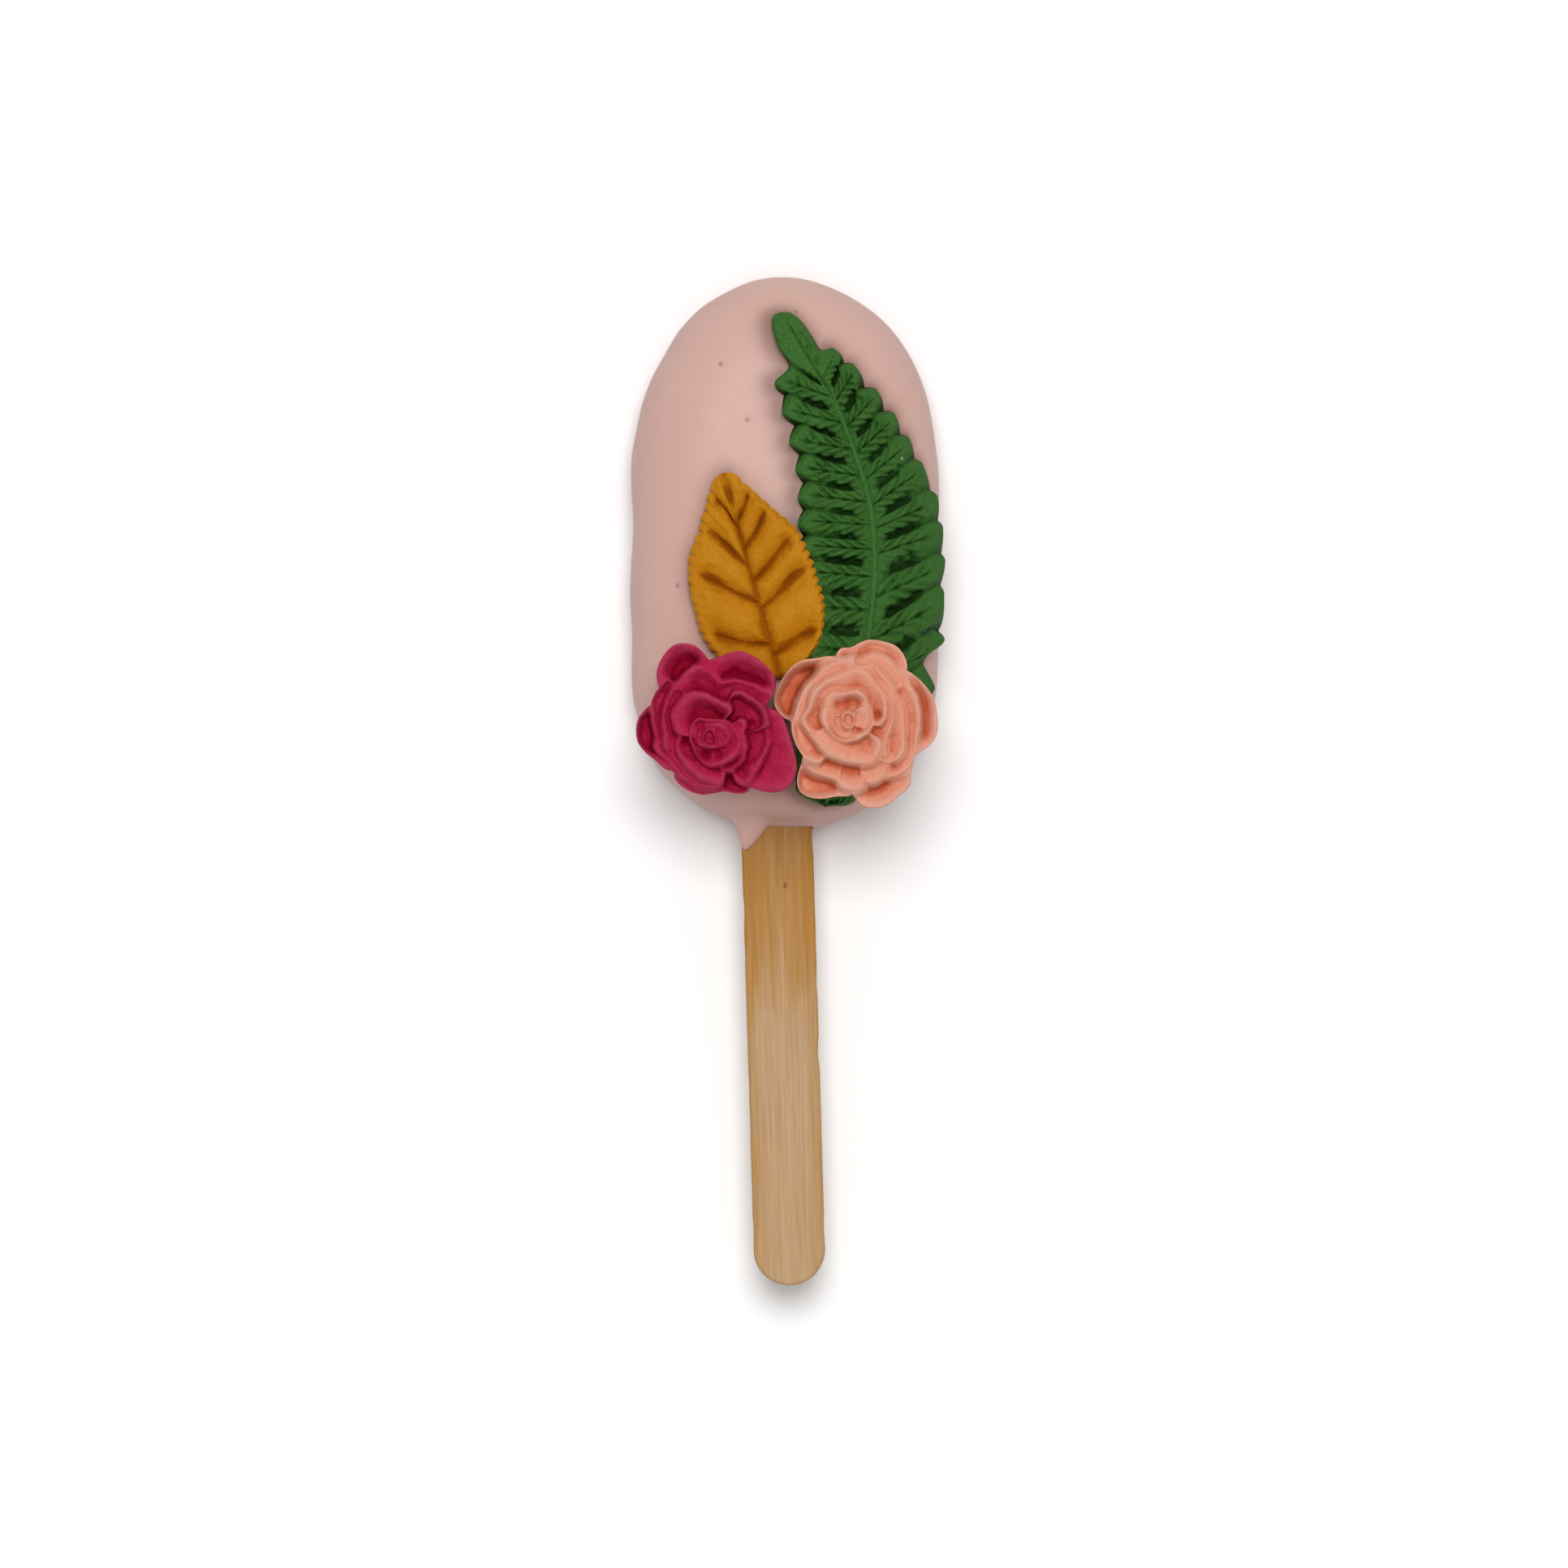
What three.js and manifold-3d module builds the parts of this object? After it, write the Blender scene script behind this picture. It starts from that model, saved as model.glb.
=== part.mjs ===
// A cakesicle: a flat-backed bar of coated cake on a wooden stick, trimmed with a fern frond, a leaf
// and two roses cast in coloured sugar paste. It lies on its back with the trimmed side up.
// Millimetres, +Z up. The origin is the middle of the flat back, and +Y points away from the stick.

import * as THREE from 'three';
import { mergeVertices } from 'three/addons/utils/BufferGeometryUtils.js';
import Module from 'manifold-3d';

const wasm = await Module();
wasm.setup();

const GAP = 0.3;                    // room left between neighbouring pieces

// Cake
const CAKE_HALF_WIDTH = 21.55;
const CAKE_HEIGHT = 20;
const WIDEST_HEIGHT = 6;            // height of the line where the side stands plumb
const HEAD_SHOULDER = 11.5;         // Y where the head starts to round
const HEAD_LENGTH = 27.4;
const FOOT_SHOULDER = -16.6;        // Y where the foot starts to round
const FOOT_LENGTH = 22.35;
const HEAD_POWER = 2;               // 2 is an ellipse, more is blunter
const FOOT_POWER = 2.12;
const CROWN_POWER = 4;              // how flat the crown stays before it rolls over the side
const BACK_EDGE_HEIGHT = 2.4;       // rounding where the side meets the flat back
const BACK_EDGE_REACH = 0.93;
const DIP_WAVE = 0.22;              // unevenness of the hand-dipped coating
const DRIP = { x: -4.9, y: -37.5, halfWidth: 2.0, halfLength: 4.1, halfHeight: 1.9 };

// Stick
const STICK_WIDTH = 10;
const STICK_THICKNESS = 2;
const STICK_LENGTH = 114;
const STICK_BEVEL = 0.35;
const STICK_MIDDLE_HEIGHT = 9.5;
const STICK_END = new THREE.Vector3(0.8, -102.6, STICK_MIDDLE_HEIGHT);
const STICK_LEAN = THREE.MathUtils.degToRad(1.7);

// Trimmings
const SEAT_REACH = 0.8;             // past this the stiff paste runs straight on instead of bending
const SEAT_STEP = 0.01;             // over which the crown's slope is taken
const FERN = { thickness: 2.7, edge: 2.1, pit: 1.25, pinnae: 14, rows: 6 };
const LEAF = { x: -8.64, y: 11.0, length: 29.8, thickness: 2.5, edge: 1.7, rows: 4 };
const LEAF_TURN = THREE.MathUtils.degToRad(15.5);
const LEAF_RIGHT_LIFT = 1.4;        // the right edge rides up on the fern
const ROSE_LIFT = 1.5;              // the roses sit on the feet of the fern and the leaf
const ROSE_DROOP = 1.2;             // how far the underside bends down past its flat back

const { clamp, lerp, smoothstep, degToRad } = THREE.MathUtils;

// ---- Solids -------------------------------------------------------------------------------------

// Joins rings of equal length into one closed skin. The first and the last ring have no area.
function loftRings(rings) {
  const around = rings[0].length;
  const geometry = new THREE.BufferGeometry().setFromPoints(rings.flat());
  const index = [];
  for (let k = 0; k + 1 < rings.length; k++) {
    for (let i = 0; i < around; i++) {
      const a = k * around + i;
      const b = k * around + ((i + 1) % around);
      index.push(a, b, b + around, a, b + around, a + around);
    }
  }
  geometry.setIndex(index);
  return solidOf(geometry);
}

function solidOf(geometry) {
  const bare = geometry.clone();
  bare.deleteAttribute('normal');
  bare.deleteAttribute('uv');
  const merged = mergeVertices(bare, 1e-4);
  const position = merged.getAttribute('position').array;
  const source = merged.index.array;
  const triVerts = [];
  for (let t = 0; t < source.length; t += 3) {
    const [a, b, c] = source.subarray(t, t + 3);
    if (a !== b && b !== c && c !== a) triVerts.push(a, b, c);
  }
  if (signedVolume(position, triVerts) < 0) triVerts.reverse();
  return new wasm.Manifold(new wasm.Mesh({
    numProp: 3, vertProperties: new Float32Array(position), triVerts: new Uint32Array(triVerts),
  }));
}

function signedVolume(position, triangles) {
  const [a, b, c] = [new THREE.Vector3(), new THREE.Vector3(), new THREE.Vector3()];
  let volume = 0;
  for (let t = 0; t < triangles.length; t += 3) {
    a.fromArray(position, 3 * triangles[t]);
    b.fromArray(position, 3 * triangles[t + 1]);
    c.fromArray(position, 3 * triangles[t + 2]);
    volume += a.dot(b.cross(c)) / 6;
  }
  return volume;
}

// Cuts the grown neighbours out of a solid and keeps its main body, without loose scraps.
function trim(solid, ...neighbours) {
  const rest = neighbours.reduce((left, neighbour) => left.subtract(neighbour), solid);
  return rest.decompose().sort((a, b) => b.volume() - a.volume())[0];
}

function meshOf(name, solid, material) {
  const { vertProperties, triVerts } = solid.getMesh();
  const geometry = new THREE.BufferGeometry();
  geometry.setAttribute('position', new THREE.BufferAttribute(vertProperties, 3));
  geometry.setIndex(new THREE.BufferAttribute(triVerts, 1));
  geometry.computeVertexNormals();
  const mesh = new THREE.Mesh(geometry, new THREE.MeshStandardMaterial(material));
  mesh.name = name;
  return mesh;
}

// A smooth curve through [parameter, x, y] knots, read at any parameter.
function curveAt(knots, s) {
  const last = knots.length - 2;
  let i = 0;
  while (i < last && s > knots[i + 1][0]) i++;
  const slope = (k, axis) => {
    const before = knots[Math.max(k - 1, 0)];
    const after = knots[Math.min(k + 1, knots.length - 1)];
    return (after[axis] - before[axis]) / (after[0] - before[0]);
  };
  const span = knots[i + 1][0] - knots[i][0];
  const t = (s - knots[i][0]) / span;
  const along = (axis) =>
    (2 * t ** 3 - 3 * t ** 2 + 1) * knots[i][axis] + (t ** 3 - 2 * t ** 2 + t) * span * slope(i, axis)
    + (3 * t ** 2 - 2 * t ** 3) * knots[i + 1][axis] + (t ** 3 - t ** 2) * span * slope(i + 1, axis);
  return new THREE.Vector2(along(1), along(2));
}

// ---- Cake ---------------------------------------------------------------------------------------

// 0 on the spine of the cake, 1 on its outline.
function reachAt(x, y) {
  const head = y > 0;
  const along = head ? Math.max(y - HEAD_SHOULDER, 0) / HEAD_LENGTH
    : Math.max(FOOT_SHOULDER - y, 0) / FOOT_LENGTH;
  const power = head ? HEAD_POWER : FOOT_POWER;
  return ((Math.abs(x) / CAKE_HALF_WIDTH) ** power + along ** power) ** (1 / power);
}

function crownHeight(reach) {
  return WIDEST_HEIGHT + (CAKE_HEIGHT - WIDEST_HEIGHT) * Math.sqrt(1 - reach ** CROWN_POWER);
}

// The surface that the trimmings lie on: the crown, carried on straight where it gets steep.
function seatHeight(x, y) {
  const reach = reachAt(x, y);
  if (reach <= SEAT_REACH) return crownHeight(reach);
  const slope = (crownHeight(SEAT_REACH) - crownHeight(SEAT_REACH - SEAT_STEP)) / SEAT_STEP;
  return crownHeight(SEAT_REACH) + slope * (reach - SEAT_REACH);
}

// Points of the cake's outline, each with the spine point that it is measured from.
function cakeOutline(endSteps, sideSteps) {
  const outline = [];
  const end = (shoulder, length, power, from) => {
    for (let i = 0; i < endSteps; i++) {
      const angle = from + Math.PI * (i / endSteps);
      const [c, s] = [Math.cos(angle), Math.sin(angle)];
      const x = CAKE_HALF_WIDTH * Math.sign(c) * Math.abs(c) ** (2 / power);
      const y = shoulder + length * Math.sign(s) * Math.abs(s) ** (2 / power);
      outline.push({ x: Math.abs(c) < 1e-9 ? 0 : x, y, spine: shoulder });
    }
  };
  const side = (x, fromY, toY) => {
    for (let i = 0; i < sideSteps; i++) {
      const y = lerp(fromY, toY, i / sideSteps);
      outline.push({ x, y, spine: y });
    }
  };
  end(HEAD_SHOULDER, HEAD_LENGTH, HEAD_POWER, 0);
  side(-CAKE_HALF_WIDTH, HEAD_SHOULDER, FOOT_SHOULDER);
  end(FOOT_SHOULDER, FOOT_LENGTH, FOOT_POWER, Math.PI);
  side(CAKE_HALF_WIDTH, FOOT_SHOULDER, HEAD_SHOULDER);
  return outline;
}

function cakeProfile() {
  const quarter = Math.PI / 2;
  const backSteps = 3;
  const crownSteps = 9;
  const profile = [[0, 0]];
  for (let i = 0; i <= backSteps; i++) {
    const angle = quarter * (i / backSteps);
    profile.push([lerp(BACK_EDGE_REACH, 1, Math.sin(angle)), BACK_EDGE_HEIGHT * (1 - Math.cos(angle))]);
  }
  for (let i = 0; i < crownSteps; i++) {
    const angle = quarter * (i / crownSteps);
    const reach = Math.cos(angle) ** (2 / CROWN_POWER);
    profile.push([reach, lerp(WIDEST_HEIGHT, CAKE_HEIGHT, Math.sin(angle))]);
  }
  profile.push([0, CAKE_HEIGHT]);
  return profile;
}

function makeCake() {
  const outline = cakeOutline(24, 12);
  const rings = cakeProfile().map(([reach, z]) => outline.map(({ x, y, spine }) => {
    const angle = Math.atan2(y, x);
    const wave = DIP_WAVE * (Math.sin(3 * angle + 1) * Math.sin(5 * angle) - 0.3);
    const share = reach * (1 + wave / CAKE_HALF_WIDTH);
    return new THREE.Vector3(x * share, spine + (y - spine) * share, z);
  }));
  const drip = new THREE.SphereGeometry(1, 16, 10);
  drip.scale(DRIP.halfWidth, DRIP.halfLength, DRIP.halfHeight);
  drip.translate(DRIP.x, DRIP.y, STICK_MIDDLE_HEIGHT + STICK_THICKNESS / 2);
  return loftRings(rings).add(solidOf(drip)).subtract(makeStick(GAP));
}

// ---- Stick --------------------------------------------------------------------------------------

function makeStick(grow = 0) {
  const radius = STICK_WIDTH / 2 - STICK_BEVEL;
  const straight = STICK_LENGTH - STICK_WIDTH;
  const plan = new THREE.Shape();
  plan.absarc(0, STICK_WIDTH / 2, radius + grow, Math.PI, 2 * Math.PI);
  plan.absarc(0, STICK_WIDTH / 2 + straight, radius + grow, 0, Math.PI);
  const depth = STICK_THICKNESS - 2 * STICK_BEVEL + 2 * grow;
  const geometry = new THREE.ExtrudeGeometry(plan, {
    depth, curveSegments: 10, bevelThickness: STICK_BEVEL, bevelSize: STICK_BEVEL, bevelSegments: 2,
  });
  geometry.translate(0, 0, -depth / 2);
  geometry.rotateZ(STICK_LEAN);
  geometry.translate(STICK_END.x, STICK_END.y, STICK_END.z);
  return solidOf(geometry);
}

// ---- Fern and leaf ------------------------------------------------------------------------------

// A thin casting split alike on both faces. Each column runs from the left margin over the midrib to
// the right margin: across(side, s, v) is its plan, and relief(side, s, v) its thickness there.
function castFrond({ columns, rows, across, relief, lift }) {
  const rings = columns.map((s, column) => {
    const upper = [];
    const lower = [];
    const isEnd = column === 0 || column === columns.length - 1;
    for (let j = -rows; j <= rows; j++) {
      const side = Math.sign(j) || 1;
      const v = isEnd ? 0 : Math.abs(j) / rows;
      const { x, y } = across(side, s, v);
      const foot = seatHeight(x, y) + lift(side, v);
      upper.push(new THREE.Vector3(x, y, foot + relief(side, s, v)));
      lower.unshift(new THREE.Vector3(x, y, foot));
    }
    return [...upper, ...lower];
  });
  return loftRings(rings);
}

// Fern: s counts the pinnae from the tip. The knots are [s, x, y] of the midrib and of the pinna tips.
const FERN_MIDRIB = [
  [0, -0.5, 33.5], [1, 4.4, 25.3], [2, 6.5, 21.9], [4, 9.4, 14.7], [6, 11.7, 7.3],
  [8, 12.5, 0.7], [10, 12.2, -7.6], [12, 10.1, -20.1], [14, 5.6, -35.6],
];
const FERN_MARGIN = {
  '-1': [
    [0, -0.5, 33.5], [0.15, -1.5, 33.1], [0.35, -1.9, 31.9], [0.7, -1.2, 29.2], [1.3, 0.3, 25.8],
    [1.8, -1.4, 23.6], [2.8, -0.4, 19.3], [3.8, 0.6, 15.1], [4.8, 1.5, 11.3], [5.8, 1.8, 7.5],
    [6.8, 1.8, 3.9], [9, 2.4, -4.2], [12, 3.0, -21.5], [13.4, 1.2, -32.8], [14, 5.6, -35.6],
  ],
  '1': [
    [0, -0.5, 33.5], [0.15, 0.8, 33.4], [0.35, 2.3, 32.3], [0.6, 3.9, 30.2], [0.86, 5.3, 28.3],
    [1, 6.6, 28.5], [2, 9.5, 26.3], [3, 12.7, 22.8], [4, 15.2, 19.5], [5, 17.3, 16.1], [6, 19.2, 12.5],
    [7, 21.3, 8.0], [8, 22.1, 3.7], [9, 22.5, -1.0], [10, 22.3, -5.6], [11, 22.4, -12.2],
    [11.86, 19.4, -15.6], [12, 21.0, -19.1], [13.6, 9.9, -34.9], [14, 5.6, -35.6],
  ],
};
const FERN_VALLEY = { '-1': 0.3, '1': 0.83 };     // where in each pitch the notch lies
const FERN_TIP = { '-1': 0.8, '1': 0.03 };        // where in each pitch the pinna ends
// How far the notches cut in, as knots [s, depth].
const FERN_NOTCH_DEPTH = {
  '-1': [[0, 0], [1.3, 0.6], [2.3, 2.1], [3.3, 2.7], [4.3, 2.0], [6.3, 1.5], [14, 1.0]],
  '1': [
    [0, 0], [0.86, 0.5], [1.86, 1.7], [2.86, 2.3], [3.86, 2.1], [4.86, 1.7], [6.86, 1.4],
    [8.86, 1.1], [9.86, 1.1], [10.86, 2.3], [11.5, 0], [14, 0.8],
  ],
};
const FERN_NOTCH_ROUNDING = 2;      // how blunt the pinnae end
const FERN_PIT_POWER = 2.5;         // how narrow the pits are
const FERN_EXTRA_COLUMN = 0.58;     // keeps the columns evenly spaced
const FERN_EDGE_POWER = 3;          // higher keeps the frond thick for longer towards its edge
const FERN_RIB_STEP = 0.05;         // over which the midrib's direction is taken

// 0 at the tip of a pinna, 1 in the notch between two.
function notchAt(side, s) {
  const sinceTip = (s - FERN_TIP[side] + 1) % 1;
  const valley = (FERN_VALLEY[side] - FERN_TIP[side] + 1) % 1;
  return sinceTip < valley ? sinceTip / valley : (1 - sinceTip) / (1 - valley);
}

function valueAt(knots, s) {
  const next = clamp(knots.findIndex(([at]) => at >= s), 1, knots.length - 1);
  const [[from, low], [to, high]] = [knots[next - 1], knots[next]];
  return lerp(low, high, (s - from) / (to - from));
}

function makeFern() {
  const phases = [0, FERN_VALLEY['-1'], FERN_EXTRA_COLUMN, FERN_VALLEY['1']];
  const columns = [];
  for (let pinna = 0; pinna < FERN.pinnae; pinna++) columns.push(...phases.map((phase) => pinna + phase));
  columns.push(FERN.pinnae);
  const across = (side, s, v) => {
    const cut = valueAt(FERN_NOTCH_DEPTH[side], s) * notchAt(side, s) ** FERN_NOTCH_ROUNDING * v ** 2;
    const rib = curveAt(FERN_MIDRIB, s + FERN_RIB_STEP).sub(curveAt(FERN_MIDRIB, s)).normalize();
    const inwards = new THREE.Vector2(side * rib.y, -side * rib.x);
    return curveAt(FERN_MIDRIB, s).lerp(curveAt(FERN_MARGIN[side], s), v).addScaledVector(inwards, cut);
  };
  const relief = (side, s, v) => {
    const pit = notchAt(side, s) ** FERN_PIT_POWER * smoothstep(v, 0.1, 0.4) * smoothstep(s, 0.6, 1.6);
    return lerp(FERN.thickness, FERN.edge, v ** FERN_EDGE_POWER) - FERN.pit * pit * (1 - 0.4 * smoothstep(v, 0.7, 1));
  };
  return castFrond({ columns, rows: FERN.rows, across, relief, lift: () => GAP });
}

// Leaf: s runs from 0 at the tip to 1 at the stalk. Its grooves leave the midrib at LEAF_VEINS.
const LEAF_WIDTHS = [                             // knots [distance from the tip, half width]
  [0, 0], [0.25, 1.1], [0.6, 1.6], [1.5, 2.25], [2.9, 3.2], [4.2, 4.05], [5.4, 4.85], [6.8, 5.6],
  [8.2, 6.7], [9.4, 7.45], [10.7, 8.1], [12.5, 8.6], [14.2, 8.85], [16.5, 9.1], [18.5, 9.15],
  [21.5, 8.95], [23.5, 8.4], [25.5, 7.3], [27, 6.0], [28.6, 4.0], [29.4, 2.3], [29.8, 0],
];
const LEAF_VEINS = { '-1': [0.26, 0.45, 0.63, 0.84], '1': [0.25, 0.38, 0.53, 0.66, 0.88] };
const LEAF_SWEEP = { '-1': 2.0, '1': 1.62 };      // how far the side veins sweep towards the tip
const LEAF_TEETH = 22;
const LEAF_TEETH_POWER = 1.8;                     // how the teeth crowd together towards the stalk
const LEAF_TOOTH = 0.32;
const LEAF_EDGE_POWER = 4;          // higher keeps the leaf thick for longer towards its edge
const LEAF_GROOVE = { depth: 0.7, side: 0.022, middle: 0.12 };

function makeLeaf(grow = 0) {
  const columns = [];
  for (let i = 0; i <= 2 * LEAF_TEETH; i++) columns.push((i / (2 * LEAF_TEETH)) ** (1 / LEAF_TEETH_POWER));
  const across = (side, s, v) => {
    const isTooth = Math.round(s ** LEAF_TEETH_POWER * 2 * LEAF_TEETH) % 2;
    const along = s ** LEAF_SWEEP[side];
    const halfWidth = valueAt(LEAF_WIDTHS, along * LEAF.length) - (isTooth ? 0 : LEAF_TOOTH);
    const reach = Math.max(halfWidth, 0) + grow;
    const plan = new THREE.Vector2(side * reach * v, -LEAF.length * lerp(s, along, v));
    return plan.rotateAround(new THREE.Vector2(), LEAF_TURN).add(new THREE.Vector2(LEAF.x, LEAF.y));
  };
  const relief = (side, s, v) => {
    const vein = Math.min(...LEAF_VEINS[side].map((root) => Math.abs(s - root)));
    const sideGroove = Math.exp(-((vein / LEAF_GROOVE.side) ** 2)) * smoothstep(0.95 - v, 0, 0.25);
    const midGroove = Math.exp(-((v / LEAF_GROOVE.middle) ** 2)) * smoothstep(s, 0.05, 0.25);
    const face = lerp(LEAF.thickness, LEAF.edge, v ** LEAF_EDGE_POWER);
    return face - LEAF_GROOVE.depth * Math.max(sideGroove, midGroove) + 2 * grow;
  };
  const lift = (side, v) => GAP - grow + (side > 0 ? LEAF_RIGHT_LIFT * v ** 1.5 : 0);
  return castFrond({ columns, rows: LEAF.rows, across, relief, lift });
}

// ---- Roses --------------------------------------------------------------------------------------

// Cupped petals from the outside in: direction and distance of the middle, half sizes out and
// across, height of the rim, and how deep the cup is inside its lip.
const PEACH_PETALS = [
  { towards: 68, offset: 7.0, out: 5.0, across: 5.0, rim: 4.6, cup: 1.5 },
  { towards: 246, offset: 7.0, out: 5.0, across: 5.4, rim: 4.4, cup: 1.5 },
  { towards: 150, offset: 6.1, out: 5.1, across: 5.6, rim: 4.9, cup: 1.7 },
  { towards: 3, offset: 6.8, out: 5.8, across: 5.9, rim: 4.7, cup: 1.8 },
  { towards: 300, offset: 7.5, out: 5.6, across: 5.2, rim: 4.3, cup: 1.4 },
  { towards: -8, offset: 4.3, out: 5.7, across: 7.0, rim: 5.8, cup: 0.8 },
  { towards: 65, offset: 5.2, out: 4.9, across: 4.5, rim: 5.7, cup: 0.8 },
  { towards: 268, offset: 3.4, out: 6.1, across: 7.0, rim: 5.6, cup: 0.9 },
  { towards: 165, offset: 0.9, out: 7.4, across: 8.2, rim: 6.3, cup: 1.0 },
  { towards: -14, offset: 3.2, out: 5.1, across: 6.2, rim: 6.5, cup: 0.8 },
  { towards: 100, offset: 0.8, out: 6.2, across: 5.9, rim: 7.3, cup: 1.3 },
  { towards: 272, offset: 0.6, out: 5.4, across: 5.4, rim: 7.0, cup: 1.0 },
  { towards: 100, offset: 0.7, out: 3.6, across: 3.6, rim: 7.9, cup: 1.1 },
  { towards: 330, offset: 0.2, out: 1.9, across: 1.9, rim: 7.8, cup: 1.0 },
];
const MAGENTA_PETALS = [
  { towards: 25, offset: 4.5, out: 5.0, across: 4.6, rim: 4.2, cup: 0.6 },
  { towards: 110, offset: 8.8, out: 5.0, across: 4.2, rim: 4.6, cup: 1.8 },
  { towards: 172, offset: 5.6, out: 4.9, across: 4.8, rim: 4.4, cup: 1.8 },
  { towards: 304, offset: 5.6, out: 3.7, across: 3.4, rim: 4.2, cup: 1.0 },
  { towards: 265, offset: 3.6, out: 4.6, across: 6.2, rim: 4.3, cup: 1.0 },
  { towards: -24, offset: 7.4, out: 6.0, across: 5.4, rim: 4.7, cup: 0.9 },
  { towards: 62, offset: 8.2, out: 5.0, across: 6.0, rim: 4.9, cup: 2.0 },
  { towards: 145, offset: 3.6, out: 6.2, across: 5.6, rim: 5.0, cup: 0.8 },
  { towards: 240, offset: 1.6, out: 5.4, across: 6.4, rim: 5.1, cup: 0.8 },
  { towards: 80, offset: 3.2, out: 5.8, across: 6.6, rim: 5.3, cup: 0.7 },
  { towards: -18, offset: 3.0, out: 5.3, across: 5.8, rim: 5.6, cup: 0.9 },
  { towards: 33, offset: 4.2, out: 4.2, across: 3.8, rim: 6.3, cup: 1.6 },
  { towards: 248, offset: 1.4, out: 4.5, across: 4.9, rim: 6.5, cup: 1.1 },
  { towards: -18, offset: 1.2, out: 4.3, across: 4.5, rim: 6.7, cup: 1.2 },
  { towards: 115, offset: 2.0, out: 4.6, across: 4.9, rim: 7.0, cup: 1.7 },
  { towards: -35, offset: 0.9, out: 3.7, across: 3.1, rim: 7.3, cup: 0.9 },
  { towards: 0, offset: 0.1, out: 1.2, across: 1.3, rim: 7.6, cup: 1.0 },
];
const PEACH_ROSE = { x: 8.9, y: -23.5, leanTowards: 0, lean: 0, petals: PEACH_PETALS };
const MAGENTA_ROSE = { x: -10.5, y: -25.9, leanTowards: 225, lean: 16, petals: MAGENTA_PETALS };
const PETAL_LIP = 0.9;              // width of the raised lip
const PETAL_SLOPE = 1.2;            // width over which the cup falls away inside the lip
const PETAL_SOFTNESS = 0.35;        // how far a mould blurs the steps between petals
const PETAL_ROUNDING = 0.4;         // how far the lip drops at its very edge
const BLUR_SAMPLES = 6;

// The petals of one rose with their middles, measured from its heart.
function placePetals(petals) {
  return petals.map((petal) => {
    const angle = degToRad(petal.towards);
    const [cos, sin] = [Math.cos(angle), Math.sin(angle)];
    return { ...petal, x: petal.offset * cos, y: petal.offset * sin, cos, sin };
  });
}

// A point in the petal's own axes, in which its rim is the unit circle.
function inPetal(petal, x, y) {
  const [dx, dy] = [x - petal.x, y - petal.y];
  return [(dx * petal.cos + dy * petal.sin) / petal.out, (dy * petal.cos - dx * petal.sin) / petal.across];
}

function sharpHeight(petals, x, y) {
  let height = 0;
  for (const petal of petals) {
    const middle = Math.hypot(...inPetal(petal, x, y));
    if (middle > 1) continue;
    const inside = (1 - middle) * (petal.out + petal.across) / 2;
    const rounding = PETAL_ROUNDING * (1 - smoothstep(inside, 0, PETAL_LIP / 2));
    height = petal.rim - petal.cup * smoothstep(inside, PETAL_LIP, PETAL_LIP + PETAL_SLOPE) - rounding;
  }
  return height;
}

function roseHeight(petals, x, y) {
  let sum = sharpHeight(petals, x, y);
  for (let i = 0; i < BLUR_SAMPLES; i++) {
    const angle = 2 * Math.PI * i / BLUR_SAMPLES;
    const [dx, dy] = [PETAL_SOFTNESS * Math.cos(angle), PETAL_SOFTNESS * Math.sin(angle)];
    sum += sharpHeight(petals, x + dx, y + dy) || sharpHeight(petals, x, y);
  }
  return sum / (BLUR_SAMPLES + 1);
}

// How far the outermost petal reaches in one direction.
function roseReach(petals, angle) {
  return Math.max(...petals.map((petal) => {
    const [a0, b0] = inPetal(petal, 0, 0);
    const [a1, b1] = inPetal(petal, Math.cos(angle), Math.sin(angle));
    const [da, db] = [a1 - a0, b1 - b0];
    const [a, b, c] = [da ** 2 + db ** 2, a0 * da + b0 * db, a0 ** 2 + b0 ** 2 - 1];
    const root = b ** 2 - a * c;
    return root < 0 ? 0 : (Math.sqrt(root) - b) / a;
  }));
}

const ROSE_RIM_SHARE = 0.98;        // where the face ends and the side begins
const ROSE_BELLY = 0.3;             // how far down the side it bends under
const ROSE_FOOT_SHARES = [0.84, 0.45, 0];

function makeRose(rose, grow = 0) {
  const around = 72;
  const faceRings = 16;
  const petals = placePetals(rose.petals);
  const level = seatHeight(rose.x, rose.y) + ROSE_LIFT;
  const lean = new THREE.Vector2(Math.tan(degToRad(rose.lean)), 0);
  lean.rotateAround(new THREE.Vector2(), degToRad(rose.leanTowards));
  const at = (direction, radius, height) => {
    const plan = direction.clone().multiplyScalar(radius);
    return new THREE.Vector3(rose.x + plan.x, rose.y + plan.y, level + height - lean.dot(plan));
  };
  const onFace = (direction, share) => {
    const radius = share * roseReach(petals, direction.angle());
    const height = roseHeight(petals, radius * direction.x, radius * direction.y);
    return at(direction, radius + share * grow, height + grow);
  };
  const onFoot = (direction, share) => {
    const point = at(direction, share * (roseReach(petals, direction.angle()) + grow), -ROSE_DROOP);
    point.z = Math.max(seatHeight(point.x, point.y) + ROSE_LIFT, point.z) - grow;
    return point;
  };
  const ring = (place) => Array.from({ length: around }, (_, i) =>
    place(new THREE.Vector2(1, 0).rotateAround(new THREE.Vector2(), 2 * Math.PI * i / around)));
  const rings = [];
  for (let k = 0; k <= faceRings; k++) {
    rings.push(ring((towards) => onFace(towards, ROSE_RIM_SHARE * k / faceRings)));
  }
  rings.push(ring((towards) => onFace(towards, ROSE_RIM_SHARE).lerp(onFoot(towards, 1), ROSE_BELLY)));
  for (const share of ROSE_FOOT_SHARES) rings.push(ring((towards) => onFoot(towards, share)));
  return loftRings(rings);
}

// ---- Assembly -----------------------------------------------------------------------------------

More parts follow.
